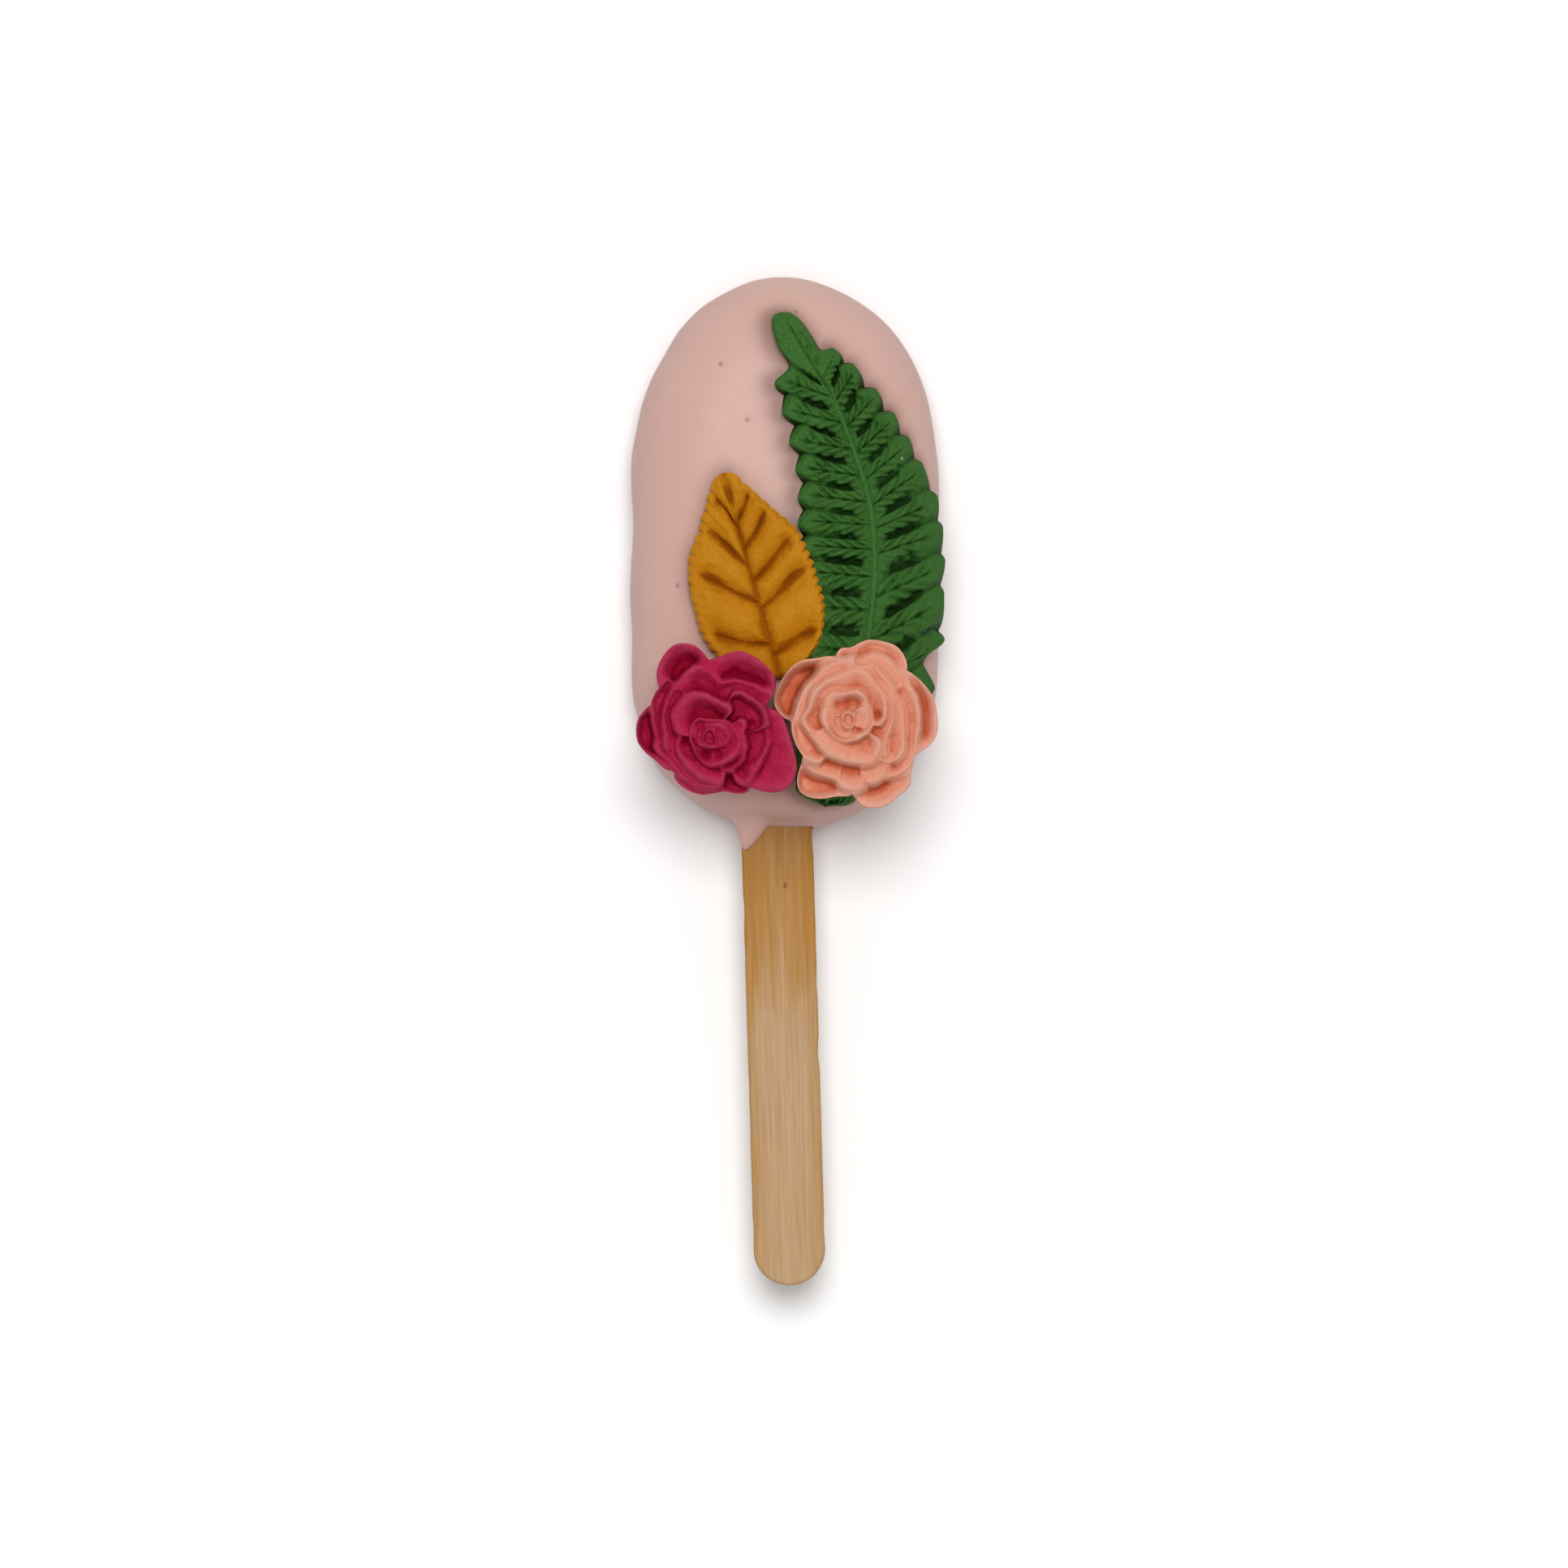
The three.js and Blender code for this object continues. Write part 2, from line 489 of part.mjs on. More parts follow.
const peachRoom = makeRose(PEACH_ROSE, GAP);
const magentaRoom = makeRose(MAGENTA_ROSE, GAP);
const leafRoom = makeLeaf(GAP);

const cakesicle = new THREE.Group();
cakesicle.add(
  meshOf('coated_cake', makeCake(), { color: 0xdcb3a6, roughness: 0.5, metalness: 0 }),
  meshOf('stick', makeStick(), { color: 0xbd9664, roughness: 0.7, metalness: 0 }),
  meshOf('fern_frond', trim(makeFern(), leafRoom, peachRoom, magentaRoom),
    { color: 0x37612a, roughness: 0.7, metalness: 0 }),
  meshOf('mustard_leaf', trim(makeLeaf(), peachRoom, magentaRoom),
    { color: 0xb87a1c, roughness: 0.65, metalness: 0 }),
  meshOf('magenta_rose', trim(makeRose(MAGENTA_ROSE), peachRoom),
    { color: 0xa1203f, roughness: 0.6, metalness: 0 }),
  meshOf('peach_rose', makeRose(PEACH_ROSE), { color: 0xd9937a, roughness: 0.6, metalness: 0 }),
);

export default cakesicle;
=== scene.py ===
"""A cakesicle: a dipped bar of cake on a wooden stick, trimmed with a fern frond, a leaf and two roses
of coloured sugar paste. It lies on its flat back on a pale floor and is seen from straight above.
Lengths are in metres. +X is to the right, +Y points away from the stick and +Z is up."""

import math
from collections import namedtuple

import bmesh
import bpy
import numpy as np
from bpy.props import FloatProperty, FloatVectorProperty, IntProperty, PointerProperty
from mathutils import Matrix, Vector, kdtree, noise


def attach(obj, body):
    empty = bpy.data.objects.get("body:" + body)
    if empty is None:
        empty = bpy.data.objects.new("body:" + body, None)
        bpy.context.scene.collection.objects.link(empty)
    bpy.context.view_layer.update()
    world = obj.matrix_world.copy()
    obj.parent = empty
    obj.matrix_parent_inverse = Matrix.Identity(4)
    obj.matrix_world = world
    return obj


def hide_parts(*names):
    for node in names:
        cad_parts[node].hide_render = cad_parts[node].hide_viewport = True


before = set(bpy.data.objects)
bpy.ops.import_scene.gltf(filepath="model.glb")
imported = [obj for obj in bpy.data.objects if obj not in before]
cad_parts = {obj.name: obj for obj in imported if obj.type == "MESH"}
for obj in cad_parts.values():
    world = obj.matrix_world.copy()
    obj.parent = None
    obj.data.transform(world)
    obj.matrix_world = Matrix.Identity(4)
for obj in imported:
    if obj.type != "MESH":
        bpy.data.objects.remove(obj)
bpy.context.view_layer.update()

bl_info = {
    "name": "Cakesicle",
    "version": (1, 0, 0),
    "blender": (4, 5, 0),
    "location": "3D View > Sidebar > Cakesicle",
    "description": "A dipped cake on a stick, trimmed with a fern, a leaf and two roses of sugar paste",
    "category": "Add Mesh",
}

MM = 0.001
GAP = 0.3 * MM                          # room between a trimming and what it lies on
SHRINKAGE = 0.12 * MM                   # how much thinner the leafy castings are than their moulds

# Cake
CAKE_HALF_WIDTH = 21.55 * MM
CAKE_HEIGHT = 20 * MM
WIDEST_HEIGHT = 6 * MM                  # height of the line where the side stands plumb
HEAD_SHOULDER = 11.5 * MM               # Y where the head starts to round
HEAD_LENGTH = 27.4 * MM
FOOT_SHOULDER = -16.6 * MM              # Y where the foot starts to round
FOOT_LENGTH = 22.35 * MM
HEAD_POWER = 2.0                        # 2 is an ellipse, more is blunter
FOOT_POWER = 2.12
CROWN_POWER = 4.0                       # how flat the crown stays before it rolls over the side
BACK_EDGE_HEIGHT = 2.4 * MM
BACK_EDGE_REACH = 0.93
SEAT_REACH = 0.8                        # past this the stiff paste runs straight on
SEAT_STEP = 0.01

# Stick
STICK_WIDTH = 10 * MM
STICK_THICKNESS = 2 * MM
STICK_LENGTH = 114 * MM
STICK_END = Vector((0.8, -102.6, 9.5)) * MM
STICK_LEAN = math.radians(1.7)


# ---- Values in node trees -----------------------------------------------------------------------

def add_node(tree, kind, inputs=None, **settings):
    """Adds a node with its settings. An input is linked to a socket or set to a value."""
    node = tree.nodes.new(kind)
    place = len(tree.nodes) - 1
    node.location = (200 * (place % 12), -280 * (place // 12))
    for name, value in settings.items():
        setattr(node, name, value)
    for key, value in (inputs or {}).items():
        socket = node.inputs[key]
        if isinstance(value, Field):
            value = value.socket
        if isinstance(value, bpy.types.NodeSocket):
            tree.links.new(value, socket)
        else:
            socket.default_value = value
    return node


class Field(np.lib.mixins.NDArrayOperatorsMixin):
    """A number that varies over a node tree. Arithmetic and numpy functions on it become Math nodes,
    so one formula serves both an array of points and a tree."""

    OPERATIONS = {
        np.add: "ADD", np.subtract: "SUBTRACT", np.multiply: "MULTIPLY", np.true_divide: "DIVIDE",
        np.power: "POWER", np.maximum: "MAXIMUM", np.minimum: "MINIMUM", np.absolute: "ABSOLUTE",
        np.sqrt: "SQRT", np.exp: "EXPONENT", np.cos: "COSINE", np.sin: "SINE", np.floor: "FLOOR",
        np.remainder: "FLOORED_MODULO", np.greater: "GREATER_THAN",
    }

    def __init__(self, tree, socket):
        self.tree = tree
        self.socket = socket

    def __array_ufunc__(self, ufunc, method, *values, **_):
        operation = self.OPERATIONS[ufunc]
        node = add_node(self.tree, "ShaderNodeMath", dict(enumerate(values)), operation=operation)
        return Field(self.tree, node.outputs[0])


def named_group(name, kind, inputs, outputs):
    """A node group with its interface. Returns the tree, and its inputs as sockets by name."""
    tree = bpy.data.node_groups.new(name, kind)
    for direction, sockets in (("INPUT", inputs), ("OUTPUT", outputs)):
        for label, (socket_type, default) in sockets.items():
            socket = tree.interface.new_socket(
                label, in_out=direction, socket_type="NodeSocket" + socket_type)
            if default is not None:
                socket.default_value = default
    return tree, add_node(tree, "NodeGroupInput").outputs


# ---- Formulas of the shape ----------------------------------------------------------------------

def lerp(a, b, t):
    return a + (b - a) * t


def smooth(start, end, x):
    """0 below start, 1 above end, and smooth between them."""
    t = np.minimum(np.maximum((x - start) / (end - start), 0.0), 1.0)
    return t * t * (3.0 - 2.0 * t)


def bell(x, width):
    return np.exp(-1.0 * (np.absolute(x) / width) ** 2.0)


def reach_at(x, y):
    """0 on the spine of the cake, 1 on its outline."""
    across = np.absolute(x) / CAKE_HALF_WIDTH
    head = np.maximum(y - HEAD_SHOULDER, 0.0) / HEAD_LENGTH
    foot = np.maximum(FOOT_SHOULDER - y, 0.0) / FOOT_LENGTH
    return np.maximum(
        (across ** HEAD_POWER + head ** HEAD_POWER) ** (1.0 / HEAD_POWER),
        (across ** FOOT_POWER + foot ** FOOT_POWER) ** (1.0 / FOOT_POWER),
    )


def crown_height(reach):
    return WIDEST_HEIGHT + (CAKE_HEIGHT - WIDEST_HEIGHT) * np.sqrt(1.0 - reach ** CROWN_POWER)


def seat_height(x, y):
    """The surface that the trimmings lie on: the crown, carried on straight where it gets steep."""
    reach = reach_at(x, y)
    slope = float(crown_height(SEAT_REACH) - crown_height(SEAT_REACH - SEAT_STEP)) / SEAT_STEP
    return crown_height(np.minimum(reach, SEAT_REACH)) + slope * np.maximum(reach - SEAT_REACH, 0.0)


def curve_at(knots, s):
    """A smooth curve through knots of a parameter and lengths in millimetres, read at the parameters s."""
    table = np.array(knots, float)
    at, points = table[:, 0], table[:, 1:] * MM
    before = np.maximum(np.arange(len(at)) - 1, 0)
    after = np.minimum(np.arange(len(at)) + 1, len(at) - 1)
    slopes = (points[after] - points[before]) / (at[after] - at[before])[:, None]
    i = np.clip(np.searchsorted(at, s) - 1, 0, len(at) - 2)
    span = (at[i + 1] - at[i])[:, None]
    t = (s - at[i])[:, None] / span
    return ((2 * t**3 - 3 * t**2 + 1) * points[i] + (t**3 - 2 * t**2 + t) * span * slopes[i]
            + (3 * t**2 - 2 * t**3) * points[i + 1] + (t**3 - t**2) * span * slopes[i + 1])


def lumps(points, pitch, offset=0.0):
    """Seeded unevenness from -1 to 1, with lumps about a pitch across."""
    flat = points.reshape(-1, 3) / pitch + offset
    return np.array([noise.noise(point) for point in flat.tolist()]).reshape(points.shape[:-1])


def flat_points(x, y):
    return np.stack([x, y, 0 * x], axis=-1)


def face_and_back(face_rows, back_rows):
    """Places across a leafy piece: from -1 to 1 over its face and home again under its back. The second
    array is 1 on the face and 0 on the back."""
    upper = np.linspace(-1, 1, 2 * face_rows + 1)
    lower = np.linspace(1, -1, 2 * back_rows + 1)
    return np.concatenate([upper, lower]), np.concatenate([np.ones(len(upper)), np.zeros(len(lower))])


# ---- Meshes -------------------------------------------------------------------------------------

def loft(name, rings, **values):
    """Joins rings of points, of shape (rings, around, 3), into one closed skin. The first and the last
    ring have no area. Each of values has a number for every point and becomes a point attribute."""
    count, around = rings.shape[:2]
    corner = np.arange(count * around).reshape(count, around)
    following = np.roll(corner, -1, axis=1)
    quads = np.stack([corner[:-1], following[:-1], following[1:], corner[1:]], axis=-1).reshape(-1, 4)
    mesh = bpy.data.meshes.new(name)
    mesh.from_pydata(rings.reshape(-1, 3).tolist(), [], quads.tolist())
    for key, numbers in values.items():
        layer = mesh.attributes.new(key, "FLOAT", "POINT")
        layer.data.foreach_set("value", np.ascontiguousarray(numbers, np.float32).ravel())
    tidy_mesh(mesh)
    piece = bpy.data.objects.new(name, mesh)
    bpy.context.scene.collection.objects.link(piece)
    return piece


def tidy_mesh(mesh):
    """Closes the poles and seams, turns the faces outwards and shades them smooth."""
    work = bmesh.new()
    work.from_mesh(mesh)
    bmesh.ops.remove_doubles(work, verts=work.verts, dist=1e-7)
    bmesh.ops.dissolve_degenerate(work, edges=work.edges, dist=1e-8)
    bmesh.ops.recalc_face_normals(work, faces=work.faces)
    for face in work.faces:
        face.smooth = True
    work.to_mesh(mesh)
    work.free()


def apply_modifiers(piece):
    """Turns the evaluated object into a plain mesh without modifiers."""
    evaluated = piece.evaluated_get(bpy.context.evaluated_depsgraph_get())
    plain = bpy.data.meshes.new_from_object(evaluated)
    piece.modifiers.clear()
    piece.data = plain
    plain.name = piece.name


def hand_over(piece, material, node):
    """Gives a finished piece its material and its place in the frame."""
    piece.data.materials.clear()
    piece.data.materials.append(material)
    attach(piece, "root")
    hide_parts(node)


# ---- Materials ----------------------------------------------------------------------------------

OUTERMOST_SPOT = 0.999                  # farthest reach of a spot, just inside the end of the crown at 1
MARK_STRENGTH = 0.75
LOW_SHADE = 0.14                        # how much painted shade darkens the coating at the foot of its side
LOW_FROM, LOW_TO = 7 * MM, 17 * MM      # heights between which that shade fades

# Along the stick, from its end.
OILED_FROM, OILED_TO = 30 * MM, 50 * MM
OILED_PATCHES = 24 * MM                 # how ragged that border is
# Painted shadow that the cake casts on the stick right beside it.
CAKE_SHADOW_FROM, CAKE_SHADOW_TO = 52 * MM, 64 * MM
CAKE_SHADOW_STRENGTH = 0.4

HOLLOW_SHADE_COLOUR = (0.01, 0.0, 0.0)              # painted shade: what the deepest hollows darken towards, in linear light

# The colours that a paste needs, for a piece without settings of its own.
PasteColours = namedtuple("PasteColours", "colour deep_colour pale_colour")


def linear(red, green, blue):
    """A colour given from 0 to 255 as a picture shows it, in linear light."""
    shown = np.array([red, green, blue]) / 255
    return tuple(np.where(shown <= 0.04045, shown / 12.92, ((shown + 0.055) / 1.055) ** 2.4))


def opaque(colour):
    return (*colour, 1.0)


def object_point(tree):
    return add_node(tree, "ShaderNodeTexCoord").outputs["Object"]


def parts_of(tree, point):
    """The X, Y and Z of a point."""
    parts = add_node(tree, "ShaderNodeSeparateXYZ", {0: point}).outputs
    return [Field(tree, parts[i]) for i in range(3)]


def point_value(tree, name):
    """A number that the mesh carries at each of its points."""
    return Field(tree, add_node(tree, "ShaderNodeAttribute", attribute_name=name).outputs["Fac"])


def mix_colour(tree, factor, below, above, blend="MIX"):
    sockets = {0: factor, 6: below, 7: above}
    return add_node(tree, "ShaderNodeMix", sockets, data_type="RGBA", blend_type=blend).outputs[2]


def noise_field(tree, point, scale, detail=3.0, roughness=0.55):
    inputs = {"Vector": point, "Scale": scale, "Detail": detail, "Roughness": roughness}
    return Field(tree, add_node(tree, "ShaderNodeTexNoise", inputs).outputs["Fac"])


def mottling_group():
    """Cloudy patches of two sizes, from 0 to 1."""
    if "Mottling" in bpy.data.node_groups:
        return bpy.data.node_groups["Mottling"]
    inputs = {"Vector": ("Vector", None), "Patch size": ("Float", 4 * MM), "Contrast": ("Float", 1.0)}
    tree, given = named_group("Mottling", "ShaderNodeTree", inputs, {"Mask": ("Float", None)})
    size, contrast = Field(tree, given["Patch size"]), Field(tree, given["Contrast"])
    broad = noise_field(tree, given["Vector"], 1.0 / size)
    fine = noise_field(tree, given["Vector"], 5.0 / size)
    mask = np.minimum(np.maximum((0.65 * broad + 0.35 * fine - 0.5) * 3.0 * contrast + 0.5, 0.0), 1.0)
    add_node(tree, "NodeGroupOutput", {"Mask": mask})
    return tree


def pores_group():
    """Pinholes in a cast paste: 1 in the middle of each hole. Their sizes vary and many are left out."""
    if "Pores" in bpy.data.node_groups:
        return bpy.data.node_groups["Pores"]
    inputs = {"Vector": ("Vector", None), "Spacing": ("Float", 1 * MM), "Hole size": ("Float", 0.15)}
    tree, given = named_group("Pores", "ShaderNodeTree", inputs, {"Mask": ("Float", None)})
    spacing = Field(tree, given["Spacing"])
    cells = add_node(tree, "ShaderNodeTexVoronoi", {"Vector": given["Vector"], "Scale": 1.0 / spacing})
    distance = Field(tree, cells.outputs["Distance"])
    chance = Field(tree, add_node(tree, "ShaderNodeSeparateColor", {0: cells.outputs["Color"]}).outputs[0])
    size = Field(tree, given["Hole size"]) * (0.4 + chance)
    rare = smooth(0.45, 0.55, chance)
    mask = (1.0 - np.minimum(np.maximum(distance / size, 0.0), 1.0)) * rare
    add_node(tree, "NodeGroupOutput", {"Mask": mask})
    return tree


def spot_group():
    """A round spot: 1 in its middle, 0 past its edge."""
    if "Spot" in bpy.data.node_groups:
        return bpy.data.node_groups["Spot"]
    inputs = {"Vector": ("Vector", None), "Centre": ("Vector", None), "Radius": ("Float", 0.5 * MM)}
    tree, given = named_group("Spot", "ShaderNodeTree", inputs, {"Mask": ("Float", None)})
    wobble = noise_field(tree, given["Vector"], 1.0 / MM, detail=1.0)
    ends = {0: given["Vector"], 1: given["Centre"]}
    away = add_node(tree, "ShaderNodeVectorMath", ends, operation="DISTANCE").outputs["Value"]
    share = Field(tree, away) / Field(tree, given["Radius"]) + (wobble - 0.5) * 0.9
    add_node(tree, "NodeGroupOutput", {"Mask": 1.0 - smooth(0.35, 1.0, share)})
    return tree


def use_group(tree, group, **inputs):
    """The first output of a node group, with its inputs given by their names in small letters."""
    values = {name.replace("_", " ").capitalize(): value for name, value in inputs.items()}
    return Field(tree, add_node(tree, "ShaderNodeGroup", values, node_tree=group).outputs[0])


def spots(tree, point, places, height_above=None):
    """The joined mask of spots given as (x, y, radius) in millimetres. They lie on the crown of the cake,
    or at a height above the seat of the trimmings."""
    mask = None
    for x, y, radius in places:
        if height_above is None:
            z = float(crown_height(min(float(reach_at(x * MM, y * MM)), OUTERMOST_SPOT)))
        else:
            z = float(seat_height(x * MM, y * MM)) + height_above
        one = use_group(tree, spot_group(), vector=point, centre=(x * MM, y * MM, z), radius=radius * MM)
        mask = one if mask is None else np.maximum(mask, one)
    return mask


def new_material(name, **shader_values):
    """A material with one Principled shader, whose constant values are set on its own sockets."""
    material = bpy.data.materials.new(name)
    material.use_nodes = True
    tree = material.node_tree
    tree.nodes.clear()
    values = {label.replace("_", " "): value for label, value in shader_values.items()}
    shader = add_node(tree, "ShaderNodeBsdfPrincipled", values)
    add_node(tree, "ShaderNodeOutputMaterial", {"Surface": shader.outputs["BSDF"]})
    return material, tree, shader


def set_relief(tree, shader, height, distance, strength=1.0):
    bump = add_node(tree, "ShaderNodeBump", {"Height": height, "Distance": distance, "Strength": strength})
    tree.links.new(bump.outputs["Normal"], shader.inputs["Normal"])


def connect(tree, value, socket):
    tree.links.new(value.socket if isinstance(value, Field) else value, socket)


def coating_material(settings):
    """Satin melted candy: two close pinks that drift into each other, a few air-bubble marks and painted
    shade.
    """
    material, tree, shader = new_material(
        "Candy coating", Specular_IOR_Level=0.35, Subsurface_Weight=0.12, Subsurface_Scale=1.5 * MM,
        Subsurface_Radius=(1.0, 0.6, 0.45))
    point = object_point(tree)
    drift = use_group(tree, mottling_group(), vector=point, patch_size=14 * MM, contrast=0.8)
    colour = mix_colour(tree, drift, opaque(settings.colour), opaque(settings.cool_colour))
    marks = spots(tree, point, BUBBLE_MARKS)
    colour = mix_colour(tree, marks * MARK_STRENGTH, colour, opaque(settings.mark_colour))
    # Painted shade: darker beside the trimmings and towards the foot of the side.
    shade = point_value(tree, "shade")
    low = LOW_SHADE * (1.0 - smooth(LOW_FROM, LOW_TO, parts_of(tree, point)[2]))
    colour = mix_colour(tree, shade + (1.0 - shade) * low, colour, opaque(settings.shade_colour))
    connect(tree, colour, shader.inputs["Base Color"])
    fine = noise_field(tree, point, 1.0 / (0.9 * MM), detail=2.0)
    connect(tree, 0.40 + 0.10 * drift + 0.05 * fine, shader.inputs["Roughness"])
    broad = noise_field(tree, point, 1.0 / (6 * MM), detail=1.0)
    set_relief(tree, shader, broad * 0.75 + fine * 0.03 - marks * 0.35, 0.25 * MM, 0.7)
    return material


def wood_material(settings):
    """Birch veneer: fine fibres along the stick, pale in its middle, oiled dark towards the cake and
    along its edges, and darker right beside the cake with a painted shadow of it."""
    material, tree, shader = new_material("Birch wood", Specular_IOR_Level=0.25)
    turn_back = Matrix.Rotation(-STICK_LEAN, 3, "Z")
    from_end = add_node(tree, "ShaderNodeMapping", {
        "Vector": object_point(tree), "Rotation": (0, 0, -STICK_LEAN), "Location": -(turn_back @ STICK_END)})
    across, along, above = parts_of(tree, from_end.outputs[0])

    def stretched(x_pitch, y_pitch):
        point = add_node(tree, "ShaderNodeCombineXYZ", {
            0: across / x_pitch, 1: along / y_pitch, 2: above / x_pitch})
        return point.outputs[0]

    fibres = noise_field(tree, stretched(0.35 * MM, 14 * MM), 1.0, detail=4.0, roughness=0.65)
    streaks = noise_field(tree, stretched(1.6 * MM, 30 * MM), 1.0, detail=2.0)
    patches = noise_field(tree, stretched(6 * MM, 16 * MM), 1.0, detail=2.0)
    edge = smooth(0.5, 0.95, np.absolute(across) / (STICK_WIDTH / 2) + (streaks - 0.5) * 0.9)
    oiled_end = smooth(OILED_FROM, OILED_TO, along + (patches - 0.5) * OILED_PATCHES)
    oiled = np.minimum(np.maximum(0.5 * edge + 0.85 * oiled_end + (patches - 0.5) * 0.9, 0.0), 1.0)
    colour = mix_colour(tree, oiled, opaque(settings.colour), opaque(settings.oiled_colour))
    # Painted shadow of the cake on the stick.
    cake_shadow = smooth(CAKE_SHADOW_FROM, CAKE_SHADOW_TO, along) * CAKE_SHADOW_STRENGTH
    colour = mix_colour(tree, cake_shadow, colour, opaque(settings.cake_shadow_colour))
    pale = smooth(0.52, 0.72, streaks * 0.6 + patches * 0.4) * (1.0 - 0.5 * edge)
    colour = mix_colour(tree, pale * 0.6, colour, opaque(settings.pale_colour))
    shade = smooth(0.35, 0.75, fibres) * 0.35
    colour = mix_colour(tree, shade, colour, opaque(settings.fibre_colour), "MULTIPLY")
    share = np.sqrt(((across - KNOT_ACROSS) / KNOT_HALF_WIDTH) ** 2.0
                    + ((along - KNOT_ALONG) / KNOT_HALF_LENGTH) ** 2.0)
    knot = (1.0 - smooth(0.5, 1.0, share)) * 0.8
    colour = mix_colour(tree, knot, colour, opaque(settings.knot_colour))
    connect(tree, colour, shader.inputs["Base Color"])
    connect(tree, 0.50 + 0.25 * fibres, shader.inputs["Roughness"])
    set_relief(tree, shader, fibres * 0.6 + streaks * 0.4, 0.12 * MM, 0.6)
    return material


def paste_group():
    """The colours of a matt sugar paste: painted shade deepens it in its hollows and painted highlight pales
    its rims, on top of its own cloudy and grainy tone, and it is pierced with pinholes. Hollow is the depth
    below the surroundings in millimetres."""
    if "Sugar paste" in bpy.data.node_groups:
        return bpy.data.node_groups["Sugar paste"]
    inputs = {
        "Vector": ("Vector", None), "Hollow": ("Float", 0.0), "Hollow depth": ("Float", 0.6),
        "Body": ("Color", None), "Deep": ("Color", None), "Pale": ("Color", None),
        "Pinholes": ("Float", 0.5), "Cloud": ("Float", 0.5), "Grain": ("Float", 0.5),
    }
    outputs = {"Color": ("Color", None), "Roughness": ("Float", None), "Height": ("Float", None)}
    tree, given = named_group("Sugar paste", "ShaderNodeTree", inputs, outputs)
    hollow = Field(tree, given["Hollow"]) / Field(tree, given["Hollow depth"])
    clouds = use_group(tree, mottling_group(), vector=given["Vector"], patch_size=2.6 * MM, contrast=1.1)
    holes = use_group(tree, pores_group(), vector=given["Vector"], spacing=0.8 * MM, hole_size=0.22)
    grain = noise_field(tree, given["Vector"], 1.0 / (0.22 * MM), detail=2.0)
    cloud, coarse = Field(tree, given["Cloud"]), Field(tree, given["Grain"])
    grainy = (grain - 0.5) * coarse
    # Painted shade in the hollows and painted highlight on the rims, mixed with the paste's own clouds and
    # grain.
    deep = smooth(0.0, 1.0, hollow + (clouds - 0.5) * 0.7 * cloud - grainy)
    pale = smooth(0.0, 0.8, (clouds - 0.5) * 0.5 * cloud + 1.6 * grainy - hollow)
    # Painted shade: the deepest hollows darken further.
    hollow_shade = smooth(0.9, 2.2, hollow) * 0.5
    colour = mix_colour(tree, deep, given["Body"], given["Deep"])
    colour = mix_colour(tree, hollow_shade, colour, opaque(HOLLOW_SHADE_COLOUR))
    colour = mix_colour(tree, pale, colour, given["Pale"])
    pierced = holes * Field(tree, given["Pinholes"])
    colour = mix_colour(tree, np.minimum(pierced * 1.4, 1.0), colour, given["Deep"])
    add_node(tree, "NodeGroupOutput", {
        "Color": colour, "Roughness": 0.54 + 0.14 * clouds + 0.08 * grain,
        "Height": clouds * 0.35 + grain * 0.5 * coarse - pierced * 0.9})
    return tree


def paste_material(name, settings, pinholes, cloud, grain, hollow_depth, coloured_spots=(), stain_height=0.0):
    """Sugar paste in one colour, which painted shade deepens over the hollow depth in millimetres. Each spot
    is ((x, y, radius) places, colour, strength)."""
    material, tree, shader = new_material(
        name, Specular_IOR_Level=0.06, Subsurface_Weight=0.08, Subsurface_Scale=0.6 * MM,
        Subsurface_Radius=(1.0, 0.5, 0.3))
    point = object_point(tree)
    paste = add_node(tree, "ShaderNodeGroup", {
        "Vector": point, "Hollow": point_value(tree, "hollow"), "Hollow depth": hollow_depth,
        "Body": opaque(settings.colour), "Deep": opaque(settings.deep_colour),
        "Pale": opaque(settings.pale_colour), "Pinholes": pinholes, "Cloud": cloud, "Grain": grain,
    }, node_tree=paste_group())
    colour = paste.outputs["Color"]
    for places, spot_colour, strength in coloured_spots:
        colour = mix_colour(tree, spots(tree, point, places, stain_height) * strength, colour, opaque(spot_colour))
    connect(tree, colour, shader.inputs["Base Color"])
    connect(tree, paste.outputs["Roughness"], shader.inputs["Roughness"])
    set_relief(tree, shader, paste.outputs["Height"], 0.12 * MM, 0.8)
    return material


# ---- Cake ---------------------------------------------------------------------------------------

SIDE_TOP = 16 * MM                      # height where the rows of the side end and those of the crown start
UNEVENNESS = 0.10 * MM
BUBBLE_MARKS = (                        # (x, y, radius) in millimetres
    (-9.1, 26.3, 0.55), (-5.2, 18.4, 0.42), (-15.1, -4.7, 0.5), (-19.0, -18.9, 0.35),
    (6.2, 30.5, 0.4), (1.6, 33.7, 0.6), (-16.6, 14.2, 0.3), (-18.7, 21.0, 0.35), (21.0, -17.0, 0.45),
)
DRIP_TOP = -37.5 * MM
DRIP_LENGTH = 4.3 * MM
DRIP_X = -5.6 * MM
DRIP_LEFT, DRIP_RIGHT = 1.55 * MM, 3.8 * MM       # its width on each side of its tip
DRIP_HALF_HEIGHT = 2.1 * MM
DRIP_POWER = 1.35                       # 1 is a pointed tip, more is rounder
DRIP_BLEND = 0.22 * MM                  # how softly the drip runs into the foot
COLLAR_FROM, COLLAR_TO = -34 * MM, -37 * MM       # Y between which the foot starts to creep
COLLAR_REACH = 0.9 * MM                 # how far the coating creeps out round the stick
COLLAR_LIFT = 0.45 * MM
CONTACTS = (                            # trimming, strength of its soft shade, how far it falls to the left
    ("fern_casting", 0.66, 0.6 * MM), ("leaf_casting", 0.46, -0.35 * MM),
    ("magenta_rose_casting", 0.3, 0.0), ("peach_rose_casting", 0.3, 0.0),
)
SHADE_REACH = 1.6 * MM
SHADE_POWER = 1.7                       # more is an even shade with a sharper edge


